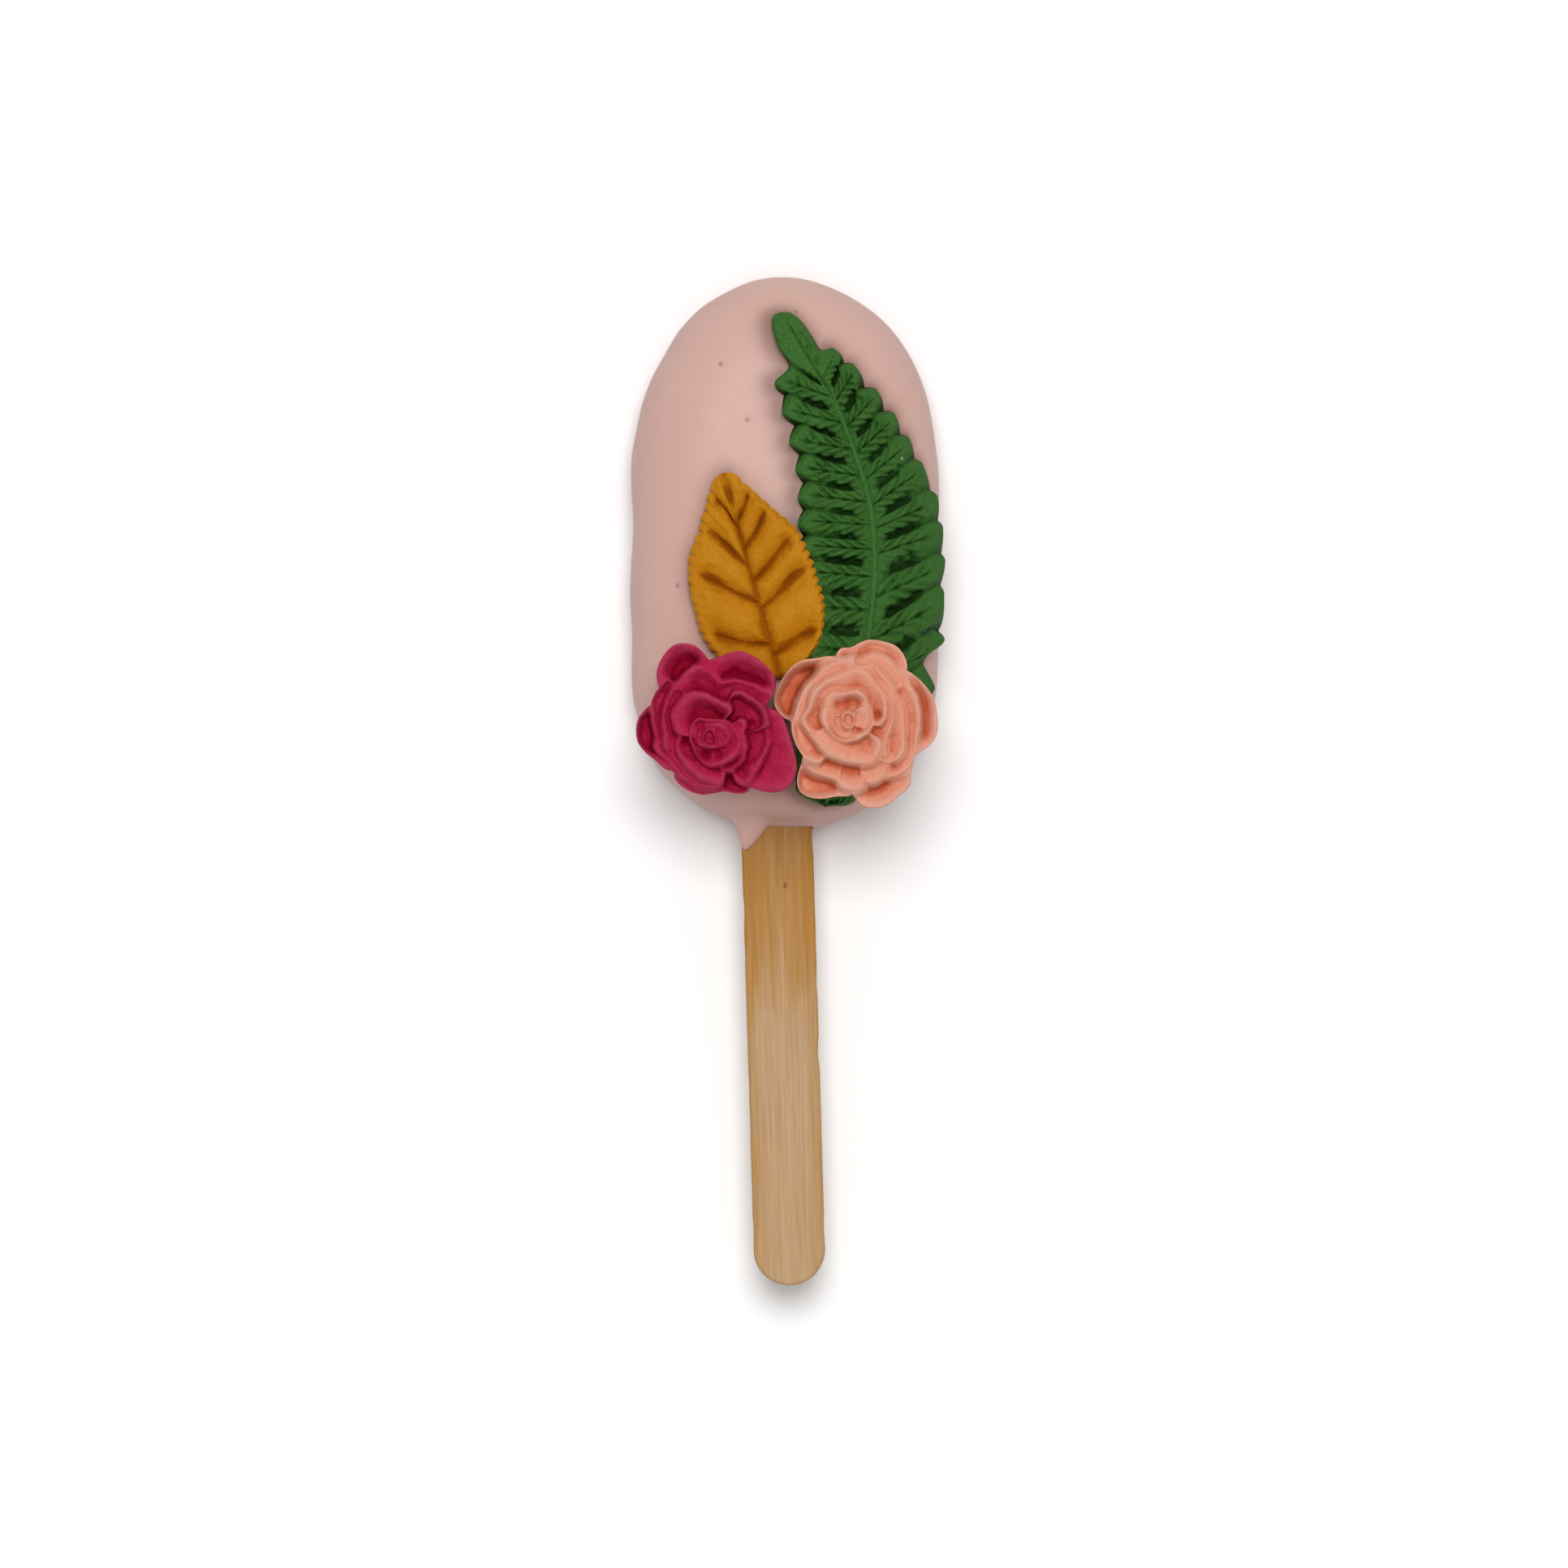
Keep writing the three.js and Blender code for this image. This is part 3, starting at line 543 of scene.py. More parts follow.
def bar_outline(half_width, head, foot, end_steps, side_steps):
    """Points round a bar with two rounded ends, and the spine point that each is measured from.
    head and foot are (shoulder, length, power) of the ends."""
    points, spines = [], []
    for shoulder, length, power, start in ((*head, 0.0), (*foot, math.pi)):
        angle = start + math.pi * np.arange(end_steps) / end_steps
        c, s = np.cos(angle), np.sin(angle)
        x = half_width * np.sign(c) * np.abs(c) ** (2 / power)
        y = shoulder + length * np.sign(s) * np.abs(s) ** (2 / power)
        points.append(np.stack([np.where(np.abs(c) < 1e-9, 0.0, x), y], axis=-1))
        spines.append(np.full(end_steps, shoulder))
        side, upwards = (-half_width, False) if start == 0.0 else (half_width, True)
        low, high = foot[0], head[0]
        run = np.arange(side_steps) / side_steps
        y = lerp(low, high, run) if upwards else lerp(high, low, run)
        points.append(np.stack([np.full(side_steps, side), y], axis=-1))
        spines.append(y)
    return np.concatenate(points), np.concatenate(spines)


def bar_rings(points, spines, reaches, heights):
    """Rings of a bar: its outline drawn in towards its spine by each reach, at each height."""
    x = reaches[:, None] * points[None, :, 0]
    y = spines + reaches[:, None] * (points[:, 1] - spines)
    z = np.broadcast_to(heights[:, None], x.shape)
    return np.stack([x, y, z], axis=-1)


def cake_profile():
    """Reach and height from the middle of the flat back, round the side, to the middle of the crown."""
    quarter = np.linspace(0, math.pi / 2, 12)
    flat = np.linspace(0, BACK_EDGE_REACH, 10)[:-1]
    back_reach = np.concatenate([flat, lerp(BACK_EDGE_REACH, 1.0, np.sin(quarter))])
    back_height = np.concatenate([np.zeros_like(flat), BACK_EDGE_HEIGHT * (1 - np.cos(quarter))])
    side_height = np.linspace(BACK_EDGE_HEIGHT, SIDE_TOP, 52)[1:]
    rise = np.maximum(side_height - WIDEST_HEIGHT, 0) / (CAKE_HEIGHT - WIDEST_HEIGHT)
    side_reach = (1 - rise**2) ** (1 / CROWN_POWER)
    crown_reach = np.linspace(side_reach[-1], 0, 46)[1:]
    return (np.concatenate([back_reach, side_reach, crown_reach]),
            np.concatenate([back_height, side_height, crown_height(crown_reach)]))


def contact_shade(points):
    """How much the trimmings that are there shade each point of the cake, from 0 to 1."""
    light = np.ones(len(points))
    for name, strength, shift in CONTACTS:
        piece = bpy.data.objects.get(name)
        if piece is None:
            continue
        corners = kdtree.KDTree(len(piece.data.vertices))
        for vertex in piece.data.vertices:
            corners.insert(vertex.co, vertex.index)
        corners.balance()
        shifted = (points + (shift, 0, 0)).tolist()
        distance = np.array([corners.find(point)[2] for point in shifted])
        light *= 1 - strength * np.exp(-(distance / SHADE_REACH) ** SHADE_POWER)
    return 1 - light


def build_cake(settings):
    """The dipped bar, uneven as a hand leaves it. It comes last, because the trimmings shade it."""
    points, spines = bar_outline(
        CAKE_HALF_WIDTH, (HEAD_SHOULDER, HEAD_LENGTH, HEAD_POWER), (FOOT_SHOULDER, FOOT_LENGTH, FOOT_POWER),
        end_steps=230, side_steps=80)
    angle = np.arctan2(points[:, 1], points[:, 0])
    wave = settings.wave * (np.sin(3 * angle + 1) * np.sin(5 * angle) - 0.3)
    ripple = settings.ripple * (np.minimum(np.sin(14 * angle + 2 * np.sin(3 * angle)), 0.3) - 0.5)
    reaches, heights = cake_profile()
    rings = bar_rings(points, spines, reaches, heights)
    share = 1 + (wave + ripple) / CAKE_HALF_WIDTH
    rings[..., 0] *= share
    rings[..., 1] = spines + (rings[..., 1] - spines) * share
    shown = smooth(1 * MM, 6 * MM, rings[..., 2])
    rings[..., 2] += shown * (UNEVENNESS * lumps(rings, 13 * MM) - UNEVENNESS)
    for x, y, radius in BUBBLE_MARKS:
        away = np.hypot(rings[..., 0] - x * MM, rings[..., 1] - y * MM)
        rings[..., 2] -= shown * settings.mark_depth * bell(away, radius * MM)
    rings[..., 1] = coated_foot(rings)
    cake = loft("dipped_cake", rings)
    cut_slot(cake)
    points = np.array([vertex.co for vertex in cake.data.vertices])
    shade = cake.data.attributes.new("shade", "FLOAT", "POINT")
    shade.data.foreach_set("value", contact_shade(points).astype(np.float32))
    hand_over(cake, coating_material(settings), "coated_cake")


def coated_foot(rings):
    """The Y of each point once the coating creeps out along the stick and drips over its left edge."""
    x, y, z = (rings[..., i] for i in range(3))
    beside = np.maximum(np.abs(x - stick_middle(y)) - STICK_WIDTH / 2, 0)
    above = np.maximum(np.abs(z - STICK_END.z) - STICK_THICKNESS / 2, 0)
    foot = smooth(COLLAR_FROM, COLLAR_TO, y)
    y = y - foot * COLLAR_LIFT * bell(np.hypot(beside, above), COLLAR_REACH)
    drip_z = STICK_END.z + STICK_THICKNESS / 2
    sideways = (x - DRIP_X) / np.where(x < DRIP_X, DRIP_LEFT, DRIP_RIGHT)
    share = np.hypot(sideways, (z - drip_z) / DRIP_HALF_HEIGHT)
    drip = DRIP_TOP - DRIP_LENGTH * np.clip(1 - share ** DRIP_POWER, 0, 1)
    joined = -DRIP_BLEND * np.logaddexp(-y / DRIP_BLEND, -drip / DRIP_BLEND)
    return np.where(foot > 0, lerp(y, joined, smooth(1.3, 0.9, share)), y)


def stick_middle(y):
    return STICK_END.x - (y - STICK_END.y) * math.tan(STICK_LEAN)


def cut_slot(cake):
    """Cuts the slot that the stick sits in, with a little clearance all round."""
    clearance = 0.02 * MM
    bpy.ops.mesh.primitive_cube_add(size=1)
    cutter = bpy.context.object
    size = (STICK_WIDTH + 2 * clearance, STICK_LENGTH, STICK_THICKNESS + 2 * clearance)
    cutter.data.transform(Matrix.Diagonal((*size, 1)))
    cutter.data.transform(Matrix.Translation((0, STICK_LENGTH / 2 + clearance, 0)))
    cutter.data.transform(Matrix.Translation(STICK_END) @ Matrix.Rotation(STICK_LEAN, 4, "Z"))
    cut = cake.modifiers.new("Slot", "BOOLEAN")
    cut.operation = "DIFFERENCE"
    cut.solver = "MANIFOLD"
    cut.object = cutter
    apply_modifiers(cake)
    bpy.data.objects.remove(cutter)


# ---- Stick --------------------------------------------------------------------------------------

KNOT_ACROSS = 0.9 * MM                  # in the stick's own axes, from the middle of its end
KNOT_ALONG = 56 * MM
KNOT_HALF_WIDTH = 0.3 * MM
KNOT_HALF_LENGTH = 0.55 * MM
STICK_EDGE = 0.45 * MM                  # rounding of the worn edges


def build_stick(settings):
    """A flat stick with round ends and worn edges, partly inside the cake."""
    radius = STICK_WIDTH / 2
    points, spines = bar_outline(
        radius, (STICK_LENGTH - radius, radius, 2.0), (radius, radius, 2.0), end_steps=48, side_steps=360)
    quarter = np.linspace(0, math.pi / 2, 8)
    inner = 1 - STICK_EDGE / radius
    half = STICK_THICKNESS / 2
    lower = (lerp(inner, 1, np.sin(quarter)), -half + STICK_EDGE * (1 - np.cos(quarter)))
    flat_reach = np.linspace(0, inner, 22)[:-1]
    reaches = np.concatenate([flat_reach, lower[0], lower[0][::-1], flat_reach[::-1]])
    flat_height = np.full_like(flat_reach, half)
    heights = np.concatenate([-flat_height, lower[1], -lower[1][::-1], flat_height])
    rings = bar_rings(points, spines, reaches, heights)
    x, y, z = (rings[..., i] for i in range(3))
    along = np.stack([x / 6, y / 30, z / 6], axis=-1)
    nicks = np.minimum(lumps(np.stack([np.sign(x), y / (5 * MM), 0 * z], axis=-1), 1.0), 0)
    x *= 1 - settings.edge_wear / radius * np.maximum(-nicks * 2.2, 0)
    z += np.sign(z) * settings.grain_depth * (lumps(along, 0.09 * MM) - 0.6) * smooth(0, 1, np.abs(z) / half)
    turn = Matrix.Translation(STICK_END) @ Matrix.Rotation(STICK_LEAN, 4, "Z")
    stick = loft("birch_stick", rings)
    stick.data.transform(turn)
    hand_over(stick, wood_material(settings), "stick")


# ---- Fern ---------------------------------------------------------------------------------------

# The knots are (pinnae from the tip, x, y), with x and y in millimetres.
FERN_MIDRIB = (
    (0, -0.5, 33.5), (1, 4.4, 25.3), (2, 6.5, 21.9), (4, 9.4, 14.7), (6, 11.7, 7.3),
    (8, 12.5, 0.7), (10, 12.2, -7.6), (12, 10.1, -20.1), (14, 5.6, -35.6),
)
FERN_LEFT_TIPS = (
    (0, -0.5, 33.5), (0.15, -1.5, 33.1), (0.35, -1.9, 31.9), (0.7, -1.2, 29.2), (1.3, 0.3, 25.8),
    (1.8, -1.4, 23.6), (2.8, -0.4, 19.3), (3.8, 0.6, 15.1), (4.8, 1.5, 11.3), (5.8, 1.8, 7.5),
    (6.8, 1.8, 3.9), (9, 2.4, -4.2), (12, 3.0, -21.5), (13.4, 1.2, -32.8), (14, 5.6, -35.6),
)
FERN_RIGHT_TIPS = (
    (0, -0.5, 33.5), (0.15, 0.8, 33.4), (0.35, 2.3, 32.3), (0.6, 3.9, 30.2), (0.86, 5.3, 28.3),
    (1, 6.6, 28.5), (2, 9.5, 26.3), (3, 12.7, 22.8), (4, 15.2, 19.5), (5, 17.3, 16.1), (6, 19.2, 12.5),
    (7, 21.3, 8.0), (8, 22.1, 3.7), (9, 22.45, -1.0), (10, 22.3, -5.6), (11, 22.4, -12.2),
    (11.86, 19.4, -15.6), (12, 21.0, -19.1), (13.6, 9.9, -34.9), (14, 5.6, -35.6),
)
FERN_PINNAE = 14
FERN_NOTCH_LEFT, FERN_NOTCH_RIGHT = 0.3, 0.83     # where in each pitch the notch lies
FERN_TIP_LEFT, FERN_TIP_RIGHT = 0.5, 0.2          # where, counted from its notch, the pinna ends
# How far each notch cuts in, in millimetres, as knots (pinnae from the tip, depth).
FERN_NOTCHES_LEFT = ((0, 0), (1.3, 0.6), (2.3, 2.1), (3.3, 2.7), (4.3, 2.0), (6.3, 1.5), (14, 1.0))
FERN_NOTCHES_RIGHT = ((0, 0), (0.86, 0.5), (1.86, 1.7), (2.86, 2.3), (3.86, 2.1), (4.86, 1.7), (6.86, 1.4),
                      (8.86, 1.1), (9.86, 1.1), (10.86, 2.3), (11.5, 0), (14, 0.8))
FERN_TIP_VEINS = (0.44, 0.64, 0.86)               # veins right of the midrib, before the first pinna
FERN_SWEEP_LEFT = 0.45                            # how far the pinnae sweep towards the tip
FERN_AXIS = 0.37                                  # where in each pinna its own vein runs
# Each spot is ((x, y, radius) places in millimetres, colour, strength): a dark blue-grey one and a pale one.
FERN_SPOTS = (
    (((20.3, -11.1, 0.9), (19.6, -11.4, 0.7)), linear(34, 40, 48), 0.9),
    (((16.4, 13.0, 0.35), (14.9, 13.3, 0.2)), linear(150, 170, 140), 0.8),
)


def fern_blank():
    """The blank that the frond is pressed from: a flat grid whose points know their pinna, their place
    from the midrib to the margin, and both ends of that line."""
    columns = 560
    s = np.linspace(0, 1, columns) * FERN_PINNAE
    across, face = face_and_back(face_rows=54, back_rows=8)
    shape = (columns, len(across))
    past_tip = smooth(0.3, 1.3, s) * smooth(14, 13, s)
    sweeps = (FERN_SWEEP_LEFT * past_tip, (0.1 + 0.6 * smooth(8.2, 9.6, s)) * past_tip)
    sides = []
    for tips, notches, sweep in zip(
            (FERN_LEFT_TIPS, FERN_RIGHT_TIPS), (FERN_NOTCHES_LEFT, FERN_NOTCHES_RIGHT), sweeps):
        root = curve_at(FERN_MIDRIB, s + sweep)
        tip = curve_at(tips, s)
        tangent = np.gradient(root, axis=0)
        tangent /= np.linalg.norm(tangent, axis=1)[:, None]
        spoke = tip - root
        breadth = np.abs(spoke[:, 0] * tangent[:, 1] - spoke[:, 1] * tangent[:, 0])
        inwards = np.stack([tangent[:, 1], -tangent[:, 0]], axis=-1)
        inwards *= -np.sign((inwards * spoke).sum(axis=1))[:, None]
        notch = np.interp(s, *np.array(notches).T) * MM
        sides.append(np.concatenate([root, tip, inwards * notch[:, None], breadth[:, None]], axis=1))
    values = np.where(across[None, :, None] < 0, sides[0][:, None], sides[1][:, None])
    s, face = np.broadcast_to(s[:, None], shape), np.broadcast_to(face, shape)
    across = np.tile(across, (columns, 1))
    across[[0, -1]] = 0
    points = np.zeros((*shape, 3))
    points[..., :2] = lerp(values[..., 0:2], values[..., 2:4], np.abs(across)[..., None])
    points[..., 2] = face * MM
    labels = ("root_x", "root_y", "tip_x", "tip_y", "notch_x", "notch_y", "breadth")
    ends = {label: values[..., i] for i, label in enumerate(labels)}
    return loft("fern_casting", points, pinna=s, across=across, face=face, **ends)


def fern_tree():
    """Presses the blank into a frond: notched margin, raised midrib, pits between the pinnae, and the
    small leaflets that branch off along each pinna."""
    inputs = {
        "Geometry": ("Geometry", None), "Thickness": ("Float", 2.7 * MM),
        "Edge thickness": ("Float", 2.1 * MM), "Notch depth": ("Float", 1.0),
        "Pit depth": ("Float", 1.4 * MM), "Midrib height": ("Float", 0.35 * MM),
        "Leaflet height": ("Float", 0.8 * MM), "Leaflets": ("Float", 5.0),
        "Roughness": ("Float", 0.19 * MM), "Seed": ("Int", 7), "Material": ("Material", None),
    }
    tree, given = named_group("Fern frond", "GeometryNodeTree", inputs, {"Geometry": ("Geometry", None)})

    def stored(name):
        node = add_node(tree, "GeometryNodeInputNamedAttribute", {"Name": name}, data_type="FLOAT")
        return Field(tree, node.outputs["Attribute"])

    def asked(name):
        return Field(tree, given[name])

    # s counts the pinnae from the tip, v runs from the midrib to the margin and w from notch to notch.
    s, across, face, breadth = (stored(name) for name in ("pinna", "across", "face", "breadth"))
    v = np.absolute(across)
    is_right = np.greater(across, 0.0)
    from_notch = s - lerp(FERN_NOTCH_LEFT, FERN_NOTCH_RIGHT, is_right)
    w = np.remainder(from_notch, 1.0)
    number = np.floor(from_notch) + 20.0 * is_right

    def chance(low, high, salt):
        """A random number for each pinna."""
        node = add_node(tree, "FunctionNodeRandomValue", {
            "ID": number, "Seed": asked("Seed") + salt, 2: low, 3: high}, data_type="FLOAT")
        return Field(tree, node.outputs[1])

    def noise_at(pitch, detail=2.0):
        position = add_node(tree, "GeometryNodeInputPosition").outputs[0]
        node = add_node(tree, "ShaderNodeTexNoise", {
            "Vector": position, "Scale": 1.0 / pitch, "Detail": detail})
        return Field(tree, node.outputs["Fac"]) - 0.5

    tip = lerp(FERN_TIP_LEFT, FERN_TIP_RIGHT, is_right)
    notch = np.maximum((tip - w) / tip, (w - tip) / (1.0 - tip)) ** lerp(1.5, 1.9, is_right)
    notch = notch * v * v * asked("Notch depth") * lerp(0.5, 1.0, face)
    x = lerp(stored("root_x"), stored("tip_x"), v) + notch * stored("notch_x")
    y = lerp(stored("root_y"), stored("tip_y"), v) + notch * stored("notch_y")

    past_tip = smooth(0.7, 1.5, s)
    bend = noise_at(2.5 * MM)
    inner_end = chance(0.10, 0.22, 1.0)
    outer_end = chance(0.46, 0.66, 2.0)
    pitted = past_tip * (1.0 - 0.6 * smooth(10.5, 12.5, s)) * chance(0.55, 1.0, 3.0)
    outer_rise = 0.85 * smooth(outer_end, outer_end + 0.16, v)
    along_pit = smooth(inner_end, inner_end + 0.10, v) * (1.0 - outer_rise)

    off_axis = np.absolute(w - FERN_AXIS)
    leaflet_phase = v * asked("Leaflets") - off_axis * 3.8 + chance(0.0, 1.0, 5.0) + bend * 1.1
    leaflets = np.absolute(np.sin(math.pi * leaflet_phase)) ** 0.75
    slope_start = chance(0.58, 0.70, 4.0) + bend * 0.4 + 0.12 * leaflets
    across_pit = np.maximum(smooth(slope_start, slope_start + 0.12, w), 1.0 - smooth(0.0, 0.05, w))
    pit = pitted * along_pit * across_pit
    veined = smooth(0.03, 0.14, v) * (1.0 - smooth(0.66, 0.88, v)) * smooth(0.9, 1.7, s)
    veined = veined * smooth(-0.22, 0.08, noise_at(3.0 * MM))
    axis_groove = bell(w - FERN_AXIS, 0.035) * smooth(0.02, 0.1, v) * (1.0 - smooth(0.72, 0.92, v))
    axis_groove = axis_groove * smooth(0.8, 1.6, s)
    dome = ((w - 0.42) / 0.58) ** 2.0

    from_midrib = v * breadth
    rib = np.exp(-1.0 * (from_midrib / (0.30 * MM)) ** 4.0)
    rib_side = bell(from_midrib - 0.55 * MM, 0.22 * MM)
    raised = smooth(1.6, 3.0, s)
    engraved = bell(from_midrib, 0.17 * MM) * smooth(0.12, 0.3, s) * (1.0 - raised)
    midrib = asked("Midrib height") * (0.8 * raised * (rib - rib_side) - 1.1 * engraved)
    tip_veins = 0.0
    for root in FERN_TIP_VEINS:
        tip_veins = tip_veins + bell(s - root, 0.045)
    tip_veins = tip_veins * is_right * smooth(0.02, 0.12, v) * (1.0 - smooth(0.5, 0.72, v))

    edge = smooth(0.88, 1.0, v)
    between_leaflets = veined * (1.0 - leaflets) * (1.0 - 0.5 * pit)
    carved = (asked("Pit depth") * pit
              + asked("Leaflet height") * (between_leaflets + 0.8 * axis_groove)
              + 0.55 * MM * dome * smooth(0.1, 0.3, v) * past_tip
              + 0.4 * MM * tip_veins
              - midrib)
    rough = asked("Roughness") * (noise_at(0.7 * MM, 3.0) * (1.6 + 2.6 * pit) + 2.0 * bend)
    top = lerp(asked("Thickness"), asked("Edge thickness"), v ** 3.0) - SHRINKAGE
    height = top - carved - 0.5 * MM * edge * edge + rough
    z = seat_height(x, y) + GAP + face * np.maximum(height, 0.6 * MM)

    place = add_node(tree, "ShaderNodeCombineXYZ", {0: x, 1: y, 2: z}).outputs[0]
    pressed = add_node(tree, "GeometryNodeSetPosition", {"Geometry": given["Geometry"], "Position": place})
    hollow = ((carved - rough) / MM - 0.3) * face
    marked = add_node(tree, "GeometryNodeStoreNamedAttribute", {
        "Geometry": pressed.outputs[0], "Name": "hollow", "Value": hollow}, data_type="FLOAT", domain="POINT")
    real = add_node(tree, "GeometryNodeRealizeInstances", {0: marked.outputs[0]})
    dressed = add_node(tree, "GeometryNodeSetMaterial", {
        "Geometry": real.outputs[0], "Material": given["Material"]})
    add_node(tree, "NodeGroupOutput", {"Geometry": dressed.outputs[0]})
    return tree


def set_modifier_inputs(modifier, **values):
    """Sets a Geometry Nodes modifier's inputs, named in small letters, by their sockets' identifiers."""
    for item in modifier.node_group.interface.items_tree:
        key = item.name.lower().replace(" ", "_")
        if item.item_type == "SOCKET" and item.in_out == "INPUT" and key in values:
            modifier[item.identifier] = values[key]


def build_fern(settings):
    """The fern frond: a blank, pressed by Geometry Nodes."""
    fern = fern_blank()
    material = paste_material(
        "Green paste", settings, pinholes=0.9, cloud=0.6, grain=1.6, hollow_depth=0.85,
        coloured_spots=FERN_SPOTS, stain_height=2.4 * MM)
    press = fern.modifiers.new("Press", "NODES")
    press.node_group = fern_tree()
    set_modifier_inputs(
        press, thickness=settings.thickness, edge_thickness=settings.edge_thickness,
        notch_depth=settings.notch_depth, pit_depth=settings.pit_depth, midrib_height=settings.midrib_height,
        leaflet_height=settings.leaflet_height, leaflets=settings.leaflets, roughness=settings.roughness,
        seed=settings.seed, material=material)
    apply_modifiers(fern)
    hand_over(fern, material, "fern_frond")


# ---- Leaf ---------------------------------------------------------------------------------------

LEAF_TIP = Vector((-8.64, 11.0, 0)) * MM
LEAF_TURN = math.radians(15.5)
LEAF_LENGTH = 29.8 * MM
LEAF_WIDTHS = (                         # (distance from the tip, half width) in millimetres
    (0, 0), (0.25, 1.1), (0.6, 1.6), (1.5, 2.25), (2.9, 3.2), (4.2, 4.05), (5.4, 4.85), (6.8, 5.6),
    (8.2, 6.7), (9.4, 7.45), (10.7, 8.1), (12.5, 8.6), (14.2, 8.85), (16.5, 9.1), (18.5, 9.15),
    (21.5, 8.95), (23.5, 8.4), (25.5, 7.3), (27, 6.0), (28.6, 4.0), (29.4, 2.3), (29.8, 0),
)
LEAF_VEINS_LEFT = (0.26, 0.45, 0.63, 0.84)        # where, from the tip, each groove leaves the midrib
LEAF_VEINS_RIGHT = (0.25, 0.38, 0.53, 0.66, 0.88)
LEAF_SWEEP_LEFT, LEAF_SWEEP_RIGHT = 2.0, 1.62     # how far the side grooves sweep towards the tip
LEAF_TEETH = 22
LEAF_TEETH_POWER = 1.8
LEAF_RIGHT_LIFT = 1.4 * MM                        # the right edge rides up on the fern
LEAF_SPOTS = ((((-13.5, -4.6, 0.55),), linear(40, 42, 55), 0.9),)


def leaf_half_width(along):
    distance = along * LEAF_LENGTH / MM
    return curve_at(LEAF_WIDTHS, distance.ravel())[:, 0].reshape(along.shape)


def leaf_relief(s, v, side, from_middle, settings):
    """How far the leaf's face lies below its highest level: grooves, and panels puffed between them.
    s runs from the tip to the base and v from the midrib to the margin."""
    carved = np.zeros_like(s)
    puff = np.ones_like(s)
    for sign, veins in ((-1, LEAF_VEINS_LEFT), (1, LEAF_VEINS_RIGHT)):
        roots = np.array(veins)
        wavy = s + 0.006 * np.sin(7 * v + 5 * s * sign)
        away = (wavy[..., None] - roots) * LEAF_LENGTH
        nearest = np.abs(away).min(axis=-1)
        fade = smooth(0.92, 0.72, v) * (0.85 + 0.15 * np.sin(9 * v + 23 * s))
        groove = (0.75 * np.exp(-nearest / (0.5 * MM)) + 0.45 * bell(nearest, 1.3 * MM)) * fade
        mine = side == sign
        carved = np.where(mine, groove, carved)
        edges = np.concatenate([[-0.02], roots, [1.05]])
        panel = np.clip(np.searchsorted(edges, wavy.ravel()).reshape(s.shape), 1, len(edges) - 1)
        place = (wavy - edges[panel - 1]) / (edges[panel] - edges[panel - 1])
        puff = np.where(mine, np.clip(4 * place * (1 - place), 0, 1) ** 0.6, puff)
    breadth = lerp(0.3, 0.55, smooth(0.4, 0.75, s)) * MM
    middle = 0.7 * np.exp(-from_middle / breadth) + 0.4 * bell(from_middle, 2.6 * breadth)
    middle = middle * smooth(0.16, 0.24, s)
    tip_hollow = 1.1 * bell(from_middle, 0.5 * MM) * bell(s - 0.115, 0.065)
    carved = np.maximum(np.maximum(carved, middle), tip_hollow)
    return settings.groove_depth * carved + settings.puff * (1 - puff) * smooth(1.0, 0.7, v)


def build_leaf(settings):
    """The mustard leaf: a toothed blade with a thick edge, whose right side rides up on the fern."""
    across, face = face_and_back(face_rows=56, back_rows=8)
    s, across, face = np.broadcast_arrays(np.linspace(0, 1, 420)[:, None], across, face)
    v, side = np.abs(across), np.where(across < 0, -1, 1)
    sweep = np.where(side < 0, LEAF_SWEEP_LEFT, LEAF_SWEEP_RIGHT)
    along = s ** sweep
    tooth_turns = LEAF_TEETH * s ** LEAF_TEETH_POWER
    tooth = settings.tooth * (1 - np.abs(np.sin(math.pi * tooth_turns)) ** 0.8)
    tooth = tooth * smooth(0.0, 0.12, s) * (1 + 0.5 * np.sin(9 * s + 2 * side))
    uneven = 0.12 * MM * (np.sin(31 * s + side) * np.sin(17 * s + 2) - 0.6) * smooth(0.0, 0.2, s)
    width = np.maximum(leaf_half_width(along) - tooth + uneven, 0)
    plan_x, plan_y = side * width * v, -LEAF_LENGTH * lerp(s, along, v)
    cos, sin = math.cos(LEAF_TURN), math.sin(LEAF_TURN)
    x = LEAF_TIP.x + plan_x * cos - plan_y * sin
    y = LEAF_TIP.y + plan_x * sin + plan_y * cos
    carved = leaf_relief(s, v, side, np.abs(plan_x), settings)
    from_margin = np.minimum(width * (1 - v), LEAF_LENGTH * np.minimum(s, 1 - s))
    round_edge = 0.6 * MM * (1 - smooth(0, 0.8 * MM, from_margin)) ** 2
    flat = flat_points(x, y)
    wrinkles = 0.13 * MM * lumps(flat, 1.9 * MM) + 0.07 * MM * lumps(flat, 0.7 * MM, 4.0)
    top = lerp(settings.thickness, settings.edge_thickness, v**4) - SHRINKAGE
    height = top - carved - round_edge + wrinkles
    lift = GAP + np.where(side > 0, LEAF_RIGHT_LIFT * v**1.5, 0)
    z = seat_height(x, y) + lift + face * height
    points = np.stack([x, y, z], axis=-1)
    points[[0, -1]] = points[[0, -1]].mean(axis=1, keepdims=True)
    leaf = loft("leaf_casting", points, hollow=(carved / MM - 0.28) * face)
    material = paste_material(
        "Mustard paste", settings, pinholes=0.35, cloud=1.2, grain=0.8, hollow_depth=0.75,
        coloured_spots=LEAF_SPOTS, stain_height=1.2 * MM)
    hand_over(leaf, material, "mustard_leaf")


# ---- Roses --------------------------------------------------------------------------------------

